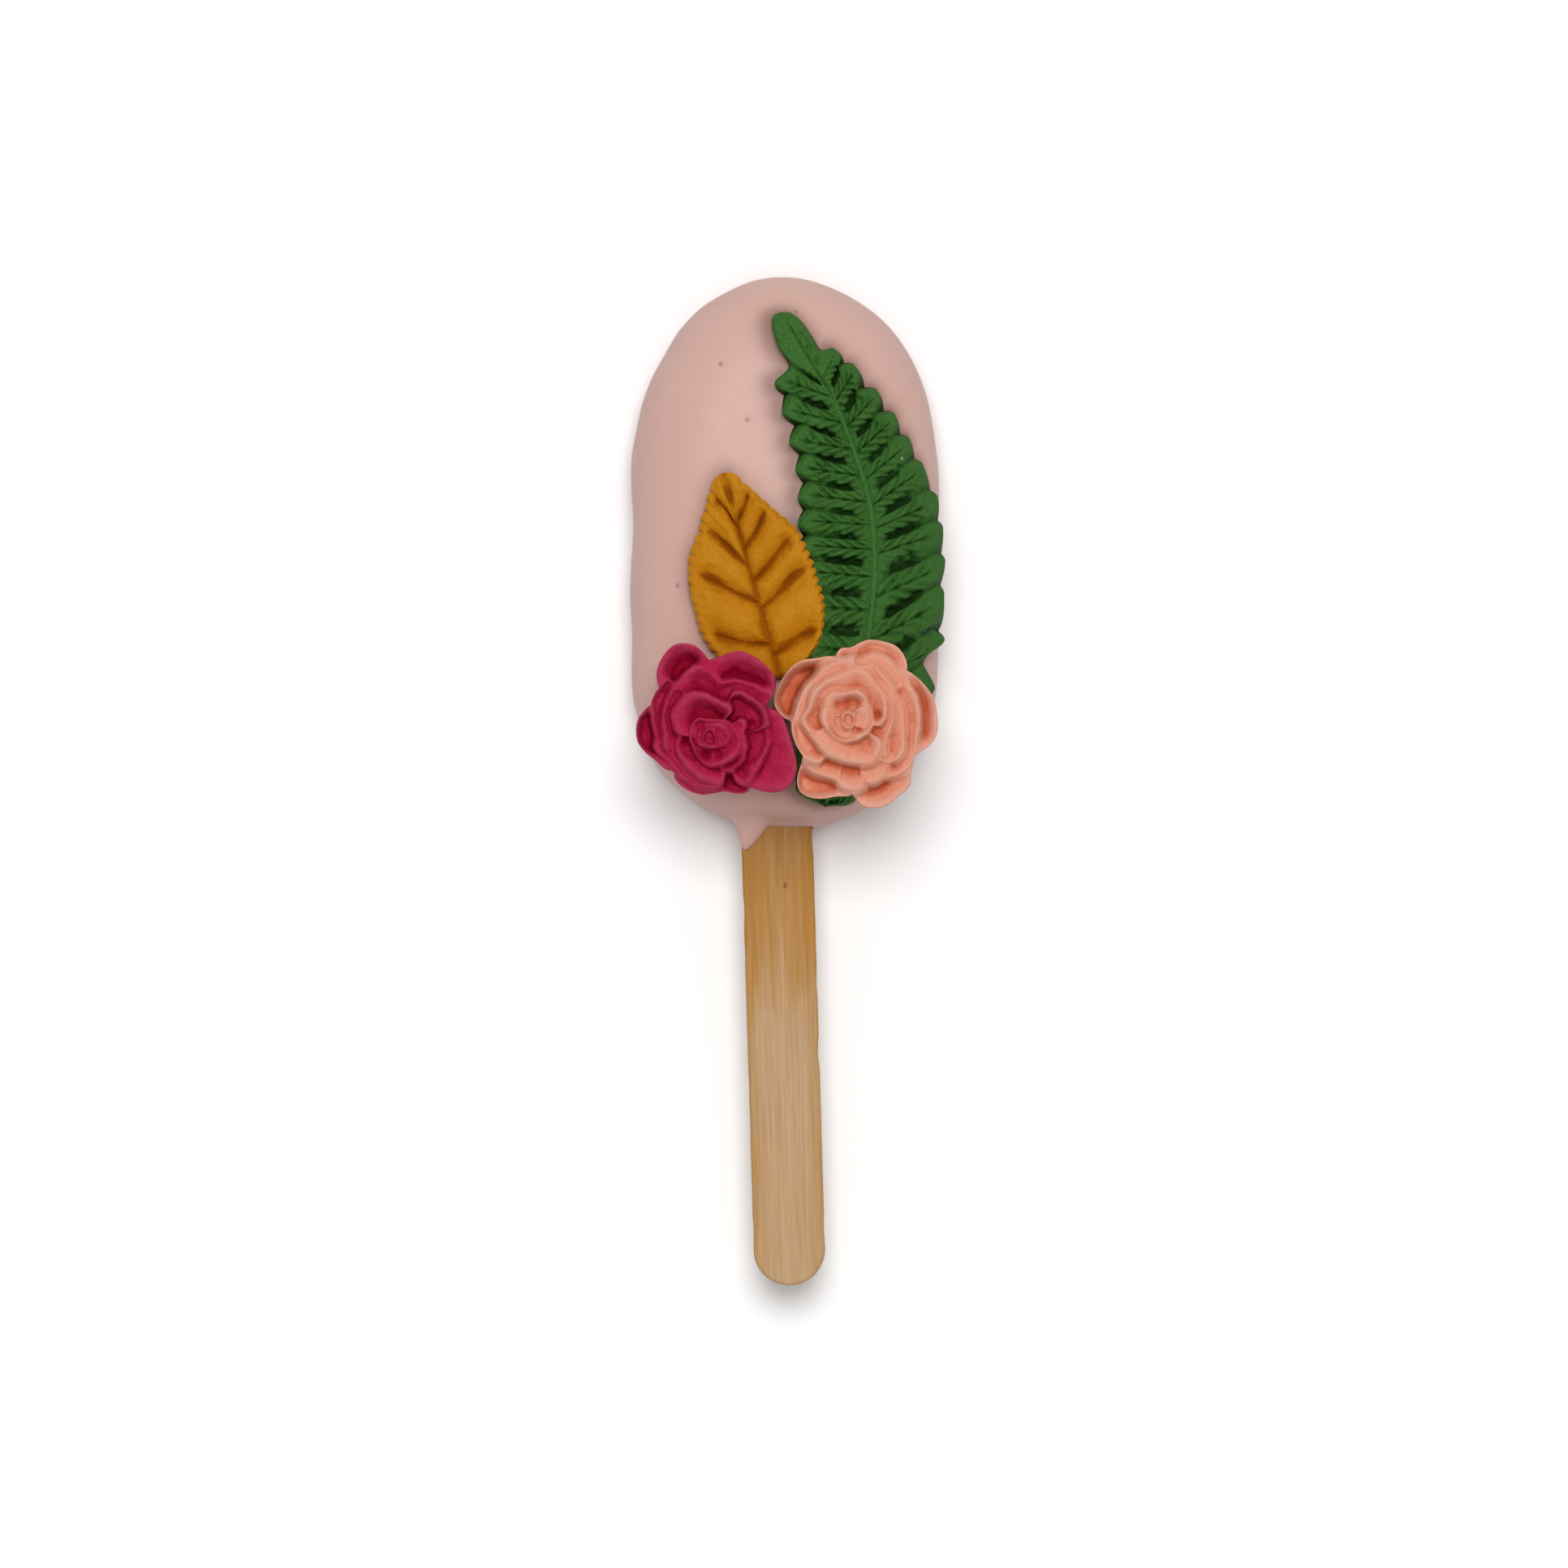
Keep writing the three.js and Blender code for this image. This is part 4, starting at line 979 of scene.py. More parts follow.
# Petals from the outside in, with lengths in millimetres: height of the rim, depth of the cup inside
# the lip, width of the lip, and the edge as (direction in degrees, distance from the heart).
Petal = namedtuple("Petal", "rim cup lip edge")
PEACH_PETALS = (
    Petal(3.4, 0.0, 1.0, ((-180, 8.3), (0, 8.3), (180, 8.3))),
    Petal(4.4, 1.2, 1.1, ((37, 9.6), (41, 11.0), (47, 11.9), (57, 12.5), (67, 12.2), (77, 11.7),
                          (88, 10.4), (97, 10.2), (104, 8.8))),
    Petal(4.3, 1.5, 0.75, ((218, 8.3), (223, 9.3), (228, 10.9), (234, 12.1), (241, 12.35), (250, 11.9),
                          (261, 11.0), (272, 10.7), (280, 9.6))),
    Petal(4.8, 2.6, 0.85, ((93, 8.4), (102, 9.3), (118, 10.0), (128, 10.8), (137, 11.1), (150, 11.1),
                           (161, 11.1), (168, 10.8), (173, 10.2), (178, 9.2), (182, 8.2))),
    Petal(4.2, 1.1, 1.5, ((-92, 9.6), (-86, 10.9), (-80, 12.5), (-67, 13.25), (-57, 12.9), (-47, 12.7),
                          (-40, 11.6), (-28, 10.6), (-20, 9.6))),
    Petal(4.7, 2.4, 0.8, ((-34, 9.6), (-27, 10.7), (-22, 11.4), (-16, 12.2), (-8, 12.7), (4, 12.6),
                          (13, 12.5), (22, 12.1), (33, 11.4), (41, 10.8), (46, 9.6))),
    Petal(5.2, 0.8, 0.9, ((218, 8.2), (224, 9.0), (235, 8.95), (252, 8.65), (258, 8.7), (263, 9.4),
                          (273, 9.9), (282, 9.8), (288, 8.6))),
    Petal(5.4, 0.8, 0.8, ((-62, 8.8), (-53, 10.2), (-39, 10.7), (-25, 10.4), (-12, 10.0), (5, 9.95),
                          (18, 10.0), (30, 9.9), (41, 10.1), (49, 9.0))),
    Petal(5.6, 0.8, 0.8, ((28, 8.6), (36, 9.5), (48, 9.75), (58, 10.0), (67, 9.9), (76, 9.2), (86, 8.0))),
    Petal(5.8, 0.5, 1.0, ((281, 8.2), (286, 9.4), (300, 9.45), (307, 9.1), (312, 8.2), (316, 7.0))),
    Petal(6.1, 0.9, 0.75, ((79, 7.6), (85, 8.8), (92, 8.5), (104, 8.35), (118, 8.1), (131, 7.7),
                           (145, 7.55), (158, 7.55), (170, 7.7), (183, 7.95), (195, 8.25), (207, 8.45),
                           (218, 8.35), (227, 8.0), (235, 7.5), (242, 6.4))),
    Petal(6.0, 0.9, 1.0, ((-54, 7.2), (-47, 8.4), (-34, 9.0), (-19, 8.4), (-3, 7.95), (12, 8.0),
                          (25, 7.8), (33, 6.8))),
    Petal(6.2, 0.8, 0.8, ((18, 6.6), (29, 7.4), (46, 7.95), (58, 8.3), (69, 8.3), (79, 7.8), (86, 6.8))),
    Petal(6.4, 0.7, 0.6, ((-50, 6.8), (-44, 7.6), (-34, 6.6), (-21, 6.1), (-4, 6.35), (14, 6.7), (26, 6.7),
                          (33, 6.0))),
    Petal(7.1, 1.3, 0.9, ((-16, 4.0), (0, 5.0), (15, 5.6), (31, 6.0), (45, 6.4), (59, 6.75), (70, 7.2),
                           (80, 7.45), (88, 7.05), (97, 6.55), (121, 6.5), (148, 6.2), (163, 6.1),
                           (180, 6.7), (191, 6.25), (202, 5.5), (212, 4.6))),
    Petal(6.9, 1.0, 1.35, ((196, 4.7), (204, 5.5), (217, 5.6), (240, 5.75), (262, 5.85), (280, 6.25),
                           (295, 6.85), (306, 6.85), (316, 6.3), (325, 5.4), (333, 4.4))),
    Petal(7.5, 1.1, 0.9, ((-180, 3.65), (-136, 3.2), (-95, 3.0), (-57, 3.1), (0, 3.4), (40, 3.75),
                          (68, 4.25), (100, 4.1), (132, 4.55), (158, 4.05), (180, 3.65))),
    Petal(7.1, 0.4, 0.6, ((146, 1.6), (162, 2.6), (202, 2.5), (244, 2.6), (275, 2.5), (292, 1.6))),
    Petal(7.3, 0.3, 0.8, ((-46, 1.6), (-30, 2.5), (-5, 3.0), (22, 3.2), (42, 3.1), (56, 1.8))),
    Petal(7.6, 0.9, 0.4, ((-180, 0.95), (-111, 1.2), (-77, 1.25), (-30, 0.95), (10, 0.85), (64, 1.15),
                          (111, 1.25), (146, 1.1), (180, 0.95))),
)
MAGENTA_PETALS = (
    Petal(3.2, 0.0, 1.0, ((-180, 7.2), (0, 7.2), (180, 7.2))),
    Petal(4.2, 0.6, 1.2, ((8, 8.0), (16, 9.0), (30, 9.4), (42, 9.8), (50, 8.6))),
    Petal(4.6, 2.0, 1.1, ((84, 9.3), (90, 10.9), (98, 13.0), (105, 13.8), (111, 14.0), (119, 13.35),
                          (128, 12.1), (133, 10.9), (138, 9.2))),
    Petal(4.4, 2.0, 1.0, ((145, 8.3), (151, 9.5), (158, 10.1), (166, 10.5), (175, 10.5), (184, 10.2),
                          (193, 9.4), (203, 8.4), (218, 7.6), (226, 6.6))),
    Petal(4.3, 1.0, 0.9, ((218, 6.2), (225, 7.2), (232, 7.8), (244, 8.1), (262, 8.25), (275, 8.0),
                          (286, 8.05), (297, 9.0), (307, 9.4), (313, 8.0))),
    Petal(4.7, 0.9, 1.8, ((-58, 7.8), (-51, 9.2), (-46, 10.6), (-40, 12.2), (-33, 13.2), (-25, 13.4),
                          (-17, 13.0), (-7, 12.0), (4, 11.3), (13, 10.9), (19, 10.5), (25, 9.7), (31, 8.4))),
    Petal(4.9, 2.2, 1.7, ((30, 9.5), (36, 11.5), (41, 12.5), (49, 12.9), (61, 13.1), (70, 13.0),
                          (78, 12.2), (84, 11.4), (91, 10.9), (98, 9.6))),
    Petal(4.95, 0.8, 0.9, ((120, 8.8), (126, 10.2), (133, 10.1), (143, 9.9), (153, 9.4), (162, 8.5),
                           (175, 7.8), (186, 7.4), (199, 6.8), (214, 6.0), (222, 5.2))),
    Petal(5.1, 0.8, 0.8, ((180, 6.6), (189, 7.6), (210, 7.1), (226, 6.9), (242, 6.95), (257, 7.3),
                          (272, 7.5), (285, 7.3), (293, 6.4))),
    Petal(5.3, 0.7, 1.2, ((24, 8.4), (33, 10.9), (45, 10.0), (63, 9.0), (78, 8.3), (86, 9.2), (97, 10.1),
                          (107, 9.8), (117, 9.1), (127, 8.8), (138, 7.8))),
    Petal(5.6, 0.9, 1.0, ((-62, 6.6), (-52, 8.2), (-35, 8.0), (-20, 8.2), (-8, 8.4), (5, 8.4), (16, 8.1),
                          (24, 7.0))),
    Petal(5.9, 0.8, 0.9, ((116, 7.4), (126, 8.3), (138, 8.0), (150, 7.5), (164, 6.9), (180, 6.3),
                          (196, 6.1), (212, 5.6), (222, 4.8))),
    Petal(5.8, 0.7, 0.7, ((196, 5.2), (206, 6.1), (224, 6.1), (244, 6.4), (262, 6.9), (276, 7.1),
                          (286, 6.7), (294, 5.8))),
    Petal(6.3, 1.8, 1.1, ((6, 7.0), (12, 8.4), (18, 8.6), (30, 8.5), (45, 8.0), (57, 7.3), (65, 6.0))),
    Petal(6.5, 1.1, 1.0, ((172, 3.8), (180, 4.5), (198, 4.8), (223, 5.25), (250, 5.75), (274, 6.5),
                          (284, 6.8), (291, 6.1), (298, 5.0))),
    Petal(6.7, 1.2, 0.9, ((-76, 4.6), (-64, 5.6), (-39, 5.8), (-15, 5.4), (8, 5.0), (26, 5.5), (36, 4.6))),
    Petal(7.0, 1.9, 1.5, ((46, 4.0), (56, 5.2), (64, 5.4), (78, 5.6), (92, 5.9), (105, 6.4), (115, 6.7),
                          (128, 6.6), (143, 6.3), (158, 5.7), (171, 4.9), (182, 3.8))),
    Petal(7.3, 0.9, 0.8, ((-180, 2.75), (-148, 2.75), (-120, 3.3), (-97, 3.95), (-67, 4.3), (-40, 4.6),
                          (-15, 4.6), (10, 4.1), (37, 3.6), (66, 2.9), (95, 2.6), (128, 3.0), (156, 3.0),
                          (180, 2.75))),
    Petal(7.4, 0.5, 0.7, ((-180, 2.2), (-150, 1.95), (-120, 1.7), (-90, 1.6), (-50, 1.9), (-20, 2.6),
                          (10, 3.1), (40, 2.9), (66, 2.3), (95, 1.8), (128, 2.2), (156, 2.3), (180, 2.2))),
    Petal(7.6, 1.0, 0.42, ((-180, 0.95), (-120, 1.25), (-60, 1.35), (0, 1.05), (60, 1.2), (120, 1.0),
                           (180, 0.95))),
)
# Deep pinched corners: direction, distance, radius and depth.
PEACH_PINCHES = ((92, 2.35, 0.8, 0.9), (125, 2.7, 0.6, 0.7), (62, 2.6, 0.6, 0.6), (-45, 2.0, 0.45, 0.9),
                 (8, 4.25, 0.55, 0.7), (-46, 8.9, 0.6, 0.6), (150, 9.0, 1.2, 0.5), (132, 9.0, 0.9, 0.4))
MAGENTA_PINCHES = ((130, 2.0, 0.6, 1.1), (257, 2.6, 0.85, 1.2), (-61, 2.7, 0.7, 0.9), (196, 1.9, 0.5, 0.7),
                   (191, 3.65, 0.6, 0.6), (18, 6.3, 0.4, 0.5), (134, 8.6, 0.6, 0.4), (-50, 7.1, 0.8, 0.5))
ROSE_RADIUS = 10 * MM
STILL_RIM = 5.0 * MM                    # the petals lower than this give the rose its outline
ROSE_LIFT = 1.5 * MM                    # height of the petals' zero over the seat
ROSE_DROOP = 1.2 * MM                   # how far the underside hangs below that zero
ROSE_SETTLING = 0.4 * MM                # how much lower the face lies than the petals say
ROSE_INSET = 0.1 * MM
FACE_SHARE = 0.985                      # of the way to the outline the wall takes over from the face
RIM_SHARE, RIM_HOLLOW = 0.95, 0.05 * MM           # past the share the face counts as no deeper than this
HOLLOW_PITCH = 0.09 * MM                # raster that the hollows are measured in
HOLLOW_HALF = 14.8 * MM                 # half its side
HOLLOW_BLURS = ((0.7 * MM, 0.5), (1.5 * MM, 0.5))  # (radius, weight) of what counts as surroundings

# The heart of each rose is at x, y. It leans to a direction by an angle, both in degrees. A soft rose has
# broad slopes between its petals, and the slope shade gives steep faces the deep colour that hollows have:
# painted shade.
Rose = namedtuple("Rose", "name node slot material x y petals pinches lean_towards lean ruffled creases "
                          "softness slope_tint hollow_depth seed")
ROSES = (
    Rose("magenta_rose_casting", "magenta_rose", "magenta_paste", "Magenta paste", x=-10.5 * MM, y=-25.9 * MM,
         petals=MAGENTA_PETALS, pinches=MAGENTA_PINCHES, lean_towards=225, lean=16, ruffled=1.2, creases=2.0,
         softness=1.0, slope_tint=0.22 * MM, hollow_depth=1.1, seed=11.0),
    Rose("peach_rose_casting", "peach_rose", "peach_paste", "Peach paste", x=8.9 * MM, y=-23.5 * MM,
         petals=PEACH_PETALS, pinches=PEACH_PINCHES, lean_towards=0, lean=0, ruffled=0.7, creases=0.6,
         softness=1.5, slope_tint=0.05 * MM, hollow_depth=0.95, seed=3.0),
)
TURN = np.arange(-180.0, 180.0, 0.5)    # directions in degrees that the edges are worked out in
PETAL_END = 5                           # degrees over which a petal fades out at each end of its edge


def is_whole(petal):
    """Whether the petal goes right round the heart."""
    return petal.edge[-1][0] - petal.edge[0][0] >= 360


def edge_of(petal):
    """The petal's edge in every direction, how square the edge stands to its radius, and how far the
    petal shows there, from 0 to 1."""
    first, last = petal.edge[0][0], petal.edge[-1][0]
    at = first + (TURN - first) % 360
    reach = curve_at(petal.edge, np.minimum(at, last))[:, 0]
    slant = np.gradient(reach) / math.radians(TURN[1] - TURN[0])
    square = reach / np.hypot(reach, slant)
    shown = np.ones_like(at)
    if not is_whole(petal):
        shown = smooth(0, PETAL_END, at - first) * smooth(0, PETAL_END, last - at)
    return reach, square, shown


def rose_height(rose, edges, x, y, settings):
    """Height of the rose's face. Each petal lies over those before it."""
    flat = flat_points(x, y)
    ruffle = rose.ruffled * settings.ruffle * lerp(0.4, 1.0, smooth(1 * MM, 4 * MM, np.hypot(x, y)))
    fine = 0.3 * rose.ruffled
    x, y = (at + ruffle * (lumps(flat, 2.6 * MM, seed) + fine * lumps(flat, 0.9 * MM, seed))
            for at, seed in ((x, rose.seed), (y, rose.seed + 5)))
    around, away = np.degrees(np.arctan2(y, x)), np.hypot(x, y)
    turns = np.radians(around)
    outwards = smooth(0.0, 2 * MM, away)
    height = np.zeros_like(x)
    for number, (petal, edge) in enumerate(zip(rose.petals, edges)):
        reach, square, shown = (np.interp(around, TURN, values, period=360) for values in edge)
        if is_whole(petal):
            inside = (1 - away / reach) * edge[0].mean()
        else:
            inside = (reach - away) * lerp(1.0, square, outwards)
        flare = rose.softness * settings.petal_slope * (0.35 + 0.65 * reach / ROSE_RADIUS)
        lip = petal.lip * MM * (1 + 0.3 * outwards * np.sin(2 * turns + 1.7 * number))
        floor = smooth(0.3 * lip, rose.softness * lip * (0.9 + 0.9 * lip / MM), inside)
        rounding = 0.3 * MM * (1 - np.clip(inside / (0.4 * lip), 0, 1)) ** 2
        rim = petal.rim * MM + 0.25 * MM * np.sin(3 * turns + number) * (1 - floor) * (petal.rim > 4)
        own = rim - petal.cup * MM * floor - rounding
        height = lerp(height, own, smooth(-flare, 0.1 * MM, inside) * shown)
    for towards, distance, radius, depth in rose.pinches:
        away_x = x - distance * MM * math.cos(math.radians(towards))
        away_y = y - distance * MM * math.sin(math.radians(towards))
        height = height - depth * MM * bell(np.hypot(away_x, away_y), radius * MM)
    return height


def rose_reach(rose, edges, angle):
    """How far the outermost petal reaches in each direction."""
    reaches = [np.interp(np.degrees(angle), TURN, reach * (shown > 0.02), period=360)
               for petal, (reach, _, shown) in zip(rose.petals, edges) if petal.rim * MM < STILL_RIM]
    return np.max(reaches, axis=0)


def hollow_map(height_at, slope_tint):
    """A function that gives how far a point lies below its surroundings, from a blurred raster."""
    pitch = HOLLOW_PITCH
    count = 2 * int(HOLLOW_HALF / pitch)
    at = (np.arange(count) - count / 2) * pitch
    x, y = np.meshgrid(at, at)
    raster = height_at(x, y)
    wave = np.fft.fftfreq(count, pitch)
    blur = np.zeros_like(raster)
    for radius, weight in HOLLOW_BLURS:
        fade = np.exp(-2 * (math.pi * radius) ** 2 * (wave[:, None] ** 2 + wave[None, :] ** 2))
        blur += weight * np.fft.ifft2(np.fft.fft2(raster) * fade).real
    slope = np.hypot(*np.gradient(raster, pitch))
    # Steep faces count as deeper, so that the paste paints shade on them.
    below = blur - raster + slope_tint * np.minimum(slope, 1.5)

    def sample(px, py):
        u, v = px / pitch + count / 2, py / pitch + count / 2
        i, j = np.clip(u.astype(int), 0, count - 2), np.clip(v.astype(int), 0, count - 2)
        fu, fv = u - i, v - j
        near = lerp(below[j, i], below[j, i + 1], fu)
        far = lerp(below[j + 1, i], below[j + 1, i + 1], fu)
        return lerp(near, far, fv)

    return sample


def build_rose(rose, settings, colours):
    """The face with its petals, the wall that tucks in below it, and the underside on the cake."""
    around, face_rings, wall_rings = 512, 152, 12
    edges = [edge_of(petal) for petal in rose.petals]

    def height_at(x, y):
        return rose_height(rose, edges, x, y, settings) - ROSE_SETTLING

    angle = 2 * math.pi * np.arange(around) / around
    reach = rose_reach(rose, edges, angle) - ROSE_INSET
    share = FACE_SHARE * np.linspace(0, 1, face_rings)[:, None]
    x, y = share * reach * np.cos(angle), share * reach * np.sin(angle)
    hollow = hollow_map(height_at, rose.slope_tint)(x, y)
    hollow = np.where(share > RIM_SHARE, np.minimum(hollow, RIM_HOLLOW), hollow)
    flat = flat_points(x, y)
    creased = rose.creases * settings.roughness
    creases = creased * (lumps(flat, 1.5 * MM, rose.seed) + 0.4 * lumps(flat, 0.6 * MM, rose.seed + 9))

    lean_towards, steepness = math.radians(rose.lean_towards), math.tan(math.radians(rose.lean))
    level = float(seat_height(rose.x, rose.y)) + ROSE_LIFT

    def placed(x, y, z):
        """A point given from the heart, in the frame. The rose stands lower on the side it leans to."""
        lowered = steepness * (x * math.cos(lean_towards) + y * math.sin(lean_towards))
        return np.stack(np.broadcast_arrays(x + rose.x, y + rose.y, z + level - lowered), axis=-1)

    face = placed(x, y, height_at(x, y) + creases)
    middle = np.array((rose.x, rose.y))

    def foot(share):
        place = placed(share * reach * np.cos(angle), share * reach * np.sin(angle), -ROSE_DROOP)
        place[:, 2] = np.maximum(seat_height(place[:, 0], place[:, 1]) + ROSE_LIFT, place[:, 2])
        return place

    rim, floor = face[-1], foot(1.0)
    wall = []
    for t in np.linspace(0, 1, wall_rings + 2)[1:-1]:
        tucked = lerp(1.0, 0.9, smooth(0.35, 1.0, t))
        ring = lerp(rim, floor, t)
        ring[:, :2] = middle + (ring[:, :2] - middle) * tucked
        wall.append(ring)
    under = [foot(share) for share in (0.86, 0.7, 0.45, 0.2, 0.0)]
    rings = np.concatenate([face, np.array(wall + under)])
    hollow = np.concatenate([hollow, np.zeros((len(wall) + len(under), around))])
    piece = loft(rose.name, rings, hollow=hollow / MM)
    material = paste_material(
        rose.material, colours, pinholes=0.4, cloud=0.8, grain=0.5, hollow_depth=rose.hollow_depth)
    hand_over(piece, material, rose.node)


# ---- Stage --------------------------------------------------------------------------------------

VIEW_CENTRE = (-0.1 * MM, -32.4 * MM)
VIEW_WIDTH = 219.5 * MM                 # what the picture shows at the height of the trimmings
VIEW_LEVEL = 10 * MM
VIEW_END = 20.0                         # farther things than this aren't drawn
FLOOR_HALF = 4.0
LAMP_TARGET = Vector((0, -0.03, 0))


def build_stage(settings):
    """The camera straight above, a pale floor, an even light and two soft lamps."""
    scene = bpy.context.scene
    scene.view_settings.view_transform = "Standard"
    scene.view_settings.look = "None"

    camera_data = bpy.data.cameras.new("Camera")
    camera_data.lens = settings.lens
    camera_data.clip_end = VIEW_END
    camera = bpy.data.objects.new("Camera", camera_data)
    distance = VIEW_WIDTH * settings.lens / camera_data.sensor_width
    camera.location = (*VIEW_CENTRE, VIEW_LEVEL + distance)
    scene.collection.objects.link(camera)
    scene.camera = camera

    floor_mesh = bpy.data.meshes.new("Floor")
    corners = [(-1, -1), (1, -1), (1, 1), (-1, 1)]
    floor_mesh.from_pydata([(FLOOR_HALF * x, FLOOR_HALF * y, 0) for x, y in corners], [], [(0, 1, 2, 3)])
    floor = bpy.data.objects.new("Floor", floor_mesh)
    scene.collection.objects.link(floor)
    material, tree, shader = new_material("Pale floor", Roughness=0.9)
    tint = noise_field(tree, object_point(tree), 3.0)
    darker = np.array(settings.floor_colour) * 0.99
    colour = mix_colour(tree, tint, opaque(settings.floor_colour), opaque(darker))
    connect(tree, colour, shader.inputs["Base Color"])
    floor_mesh.materials.append(material)

    world = bpy.data.worlds.new("Studio")
    world.use_nodes = True
    background = world.node_tree.nodes["Background"]
    background.inputs["Color"].default_value = (1.0, 1.0, 1.0, 1.0)
    background.inputs["Strength"].default_value = settings.ambient
    scene.world = world

    add_lamp("Softbox", place=(0.02, 0.6, 2.0), size=1.1, power=settings.softbox_power)
    add_lamp("Fill", place=(0.0, -0.5, 2.1), size=1.2, power=settings.fill_power)


def add_lamp(name, place, size, power):
    data = bpy.data.lights.new(name, "AREA")
    data.shape = "DISK"
    data.size = size
    data.energy = power
    lamp = bpy.data.objects.new(name, data)
    lamp.location = place
    lamp.rotation_euler = (LAMP_TARGET - Vector(place)).to_track_quat("-Z", "Y").to_euler()
    bpy.context.scene.collection.objects.link(lamp)


# ---- Settings -----------------------------------------------------------------------------------

def length(name, description, default):
    return FloatProperty(
        name=name, description=description, default=default, min=0.0, unit="LENGTH", precision=5)


def power(name, description, default):
    return FloatProperty(name=name, description=description, default=default, min=0.0, unit="POWER")


def colour(name, description, red, green, blue):
    return FloatVectorProperty(
        name=name, description=description, subtype="COLOR", size=3, min=0.0, max=1.0,
        default=linear(red, green, blue))


class CakesicleCakeSettings(bpy.types.PropertyGroup):
    wave: length("Wave", "Unevenness of the hand-dipped outline", 0.22 * MM)
    ripple: length("Ripple", "Small ripples along the outline", 0.12 * MM)
    mark_depth: length("Mark depth", "Depth of the air-bubble marks", 0.16 * MM)
    colour: colour("Coating", "Warm part of the candy coating", 207, 166, 153)
    cool_colour: colour("Cool coating", "Cooler part of the candy coating", 203, 162, 153)
    mark_colour: colour("Marks", "Air-bubble marks", 165, 110, 92)
    shade_colour: colour("Shaded coating", "Coating in the soft shade of the trimmings", 92, 56, 40)


class CakesicleStickSettings(bpy.types.PropertyGroup):
    edge_wear: length("Edge wear", "Depth of the nicks along the edges", 0.12 * MM)
    grain_depth: length("Grain depth", "Height of the wood fibres", 0.02 * MM)
    colour: colour("Wood", "Bare wood", 186, 153, 114)
    # Painted shadow of the cake on the stick.
    cake_shadow_colour: colour("Cake shadow on wood", "Stick right beside the cake", 124, 78, 12)
    oiled_colour: colour("Oiled wood", "Wood that has taken up fat from the cake", 172, 122, 52)
    pale_colour: colour("Pale streaks", "Pale streaks in the wood", 202, 172, 140)
    fibre_colour: colour("Fibres", "Shadow of the fibres", 200, 170, 130)
    knot_colour: colour("Knot", "The small knot", 120, 66, 24)


class CakesicleFernSettings(bpy.types.PropertyGroup):
    thickness: length("Thickness", "Thickness along the midrib", 2.7 * MM)
    edge_thickness: length("Edge thickness", "Thickness at the margin", 2.1 * MM)
    notch_depth: FloatProperty(
        name="Notch depth", description="Depth of the notches as a share of the measured one", default=1.0,
        min=0.0, max=2.0, subtype="FACTOR")
    pit_depth: length("Pit depth", "Depth of the pits between the pinnae", 1.4 * MM)
    midrib_height: length("Midrib height", "Height of the raised midrib", 0.35 * MM)
    leaflet_height: length("Leaflet height", "Height of the small leaflets", 0.8 * MM)
    leaflets: FloatProperty(name="Leaflets", description="Leaflets along each pinna", default=5.0, min=1.0)
    roughness: length("Roughness", "Roughness of the casting", 0.19 * MM)
    seed: IntProperty(name="Seed", description="Changes how the pits and leaflets fall", default=7, min=0)
    colour: colour("Paste", "Face of the green paste", 53, 94, 37)
    deep_colour: colour("Deep paste", "Hollows of the green paste", 24, 57, 18)
    pale_colour: colour("Pale paste", "Rims of the green paste", 62, 106, 50)


class CakesicleLeafSettings(bpy.types.PropertyGroup):
    thickness: length("Thickness", "Thickness along the midrib", 2.5 * MM)
    edge_thickness: length("Edge thickness", "Thickness at the margin", 1.7 * MM)
    groove_depth: length("Groove depth", "Depth of the veins", 0.9 * MM)
    puff: length("Puff", "How far the panels swell between the veins", 0.45 * MM)
    tooth: length("Teeth", "Depth of the teeth along the margin", 0.36 * MM)
    colour: colour("Paste", "Face of the mustard paste", 178, 114, 12)
    deep_colour: colour("Deep paste", "Grooves of the mustard paste", 148, 80, 4)
    pale_colour: colour("Pale paste", "Rims of the mustard paste", 188, 128, 30)


class CakesicleRoseColours(bpy.types.PropertyGroup):
    colour: colour("Paste", "Face of the paste", 213, 141, 115)
    deep_colour: colour("Deep paste", "Hollows of the paste", 186, 93, 60)
    pale_colour: colour("Pale paste", "Rims of the paste", 214, 154, 133)


class CakesicleRoseSettings(bpy.types.PropertyGroup):
    ruffle: length("Ruffle", "Unevenness of the petal edges", 0.35 * MM)
    petal_slope: length("Petal slope", "How far the outside of a petal flares beyond its rim", 0.75 * MM)
    roughness: length("Roughness", "Roughness of the casting", 0.12 * MM)
    peach: PointerProperty(
        name="Peach rose", description="Colours of the peach rose", type=CakesicleRoseColours)
    magenta_colour: colour("Magenta paste", "Face of the magenta paste", 166, 28, 66)
    magenta_deep: colour("Deep magenta", "Hollows of the magenta paste", 138, 2, 38)
    magenta_pale: colour("Pale magenta", "Rims of the magenta paste", 168, 48, 78)


class CakesicleStageSettings(bpy.types.PropertyGroup):
    lens: FloatProperty(name="Lens", description="Focal length in millimetres", default=500.0, min=20.0)
    ambient: FloatProperty(name="Ambient", description="Strength of the even light", default=0.36, min=0.0)
    softbox_power: power("Softbox", "Power of the softbox", 30.0)
    fill_power: power("Fill", "Power of the fill light", 6.0)
    floor_colour: colour("Floor", "Colour of the floor", 250, 250, 250)


# ---- Operators and panel ------------------------------------------------------------------------

class CAKESICLE_OT_stage(bpy.types.Operator):
    """Add the camera, the soft lights and the pale floor"""
    bl_idname = "cakesicle.stage"
    bl_label = "Stage"

    def execute(self, context):
        build_stage(context.scene.cakesicle_stage)
        return {"FINISHED"}


class CAKESICLE_OT_cake(bpy.types.Operator):
    """Add the dipped cake, softly shaded beside the trimmings that are there"""
    bl_idname = "cakesicle.cake"
    bl_label = "Dipped cake"

    def execute(self, context):
        build_cake(context.scene.cakesicle_cake)
        return {"FINISHED"}


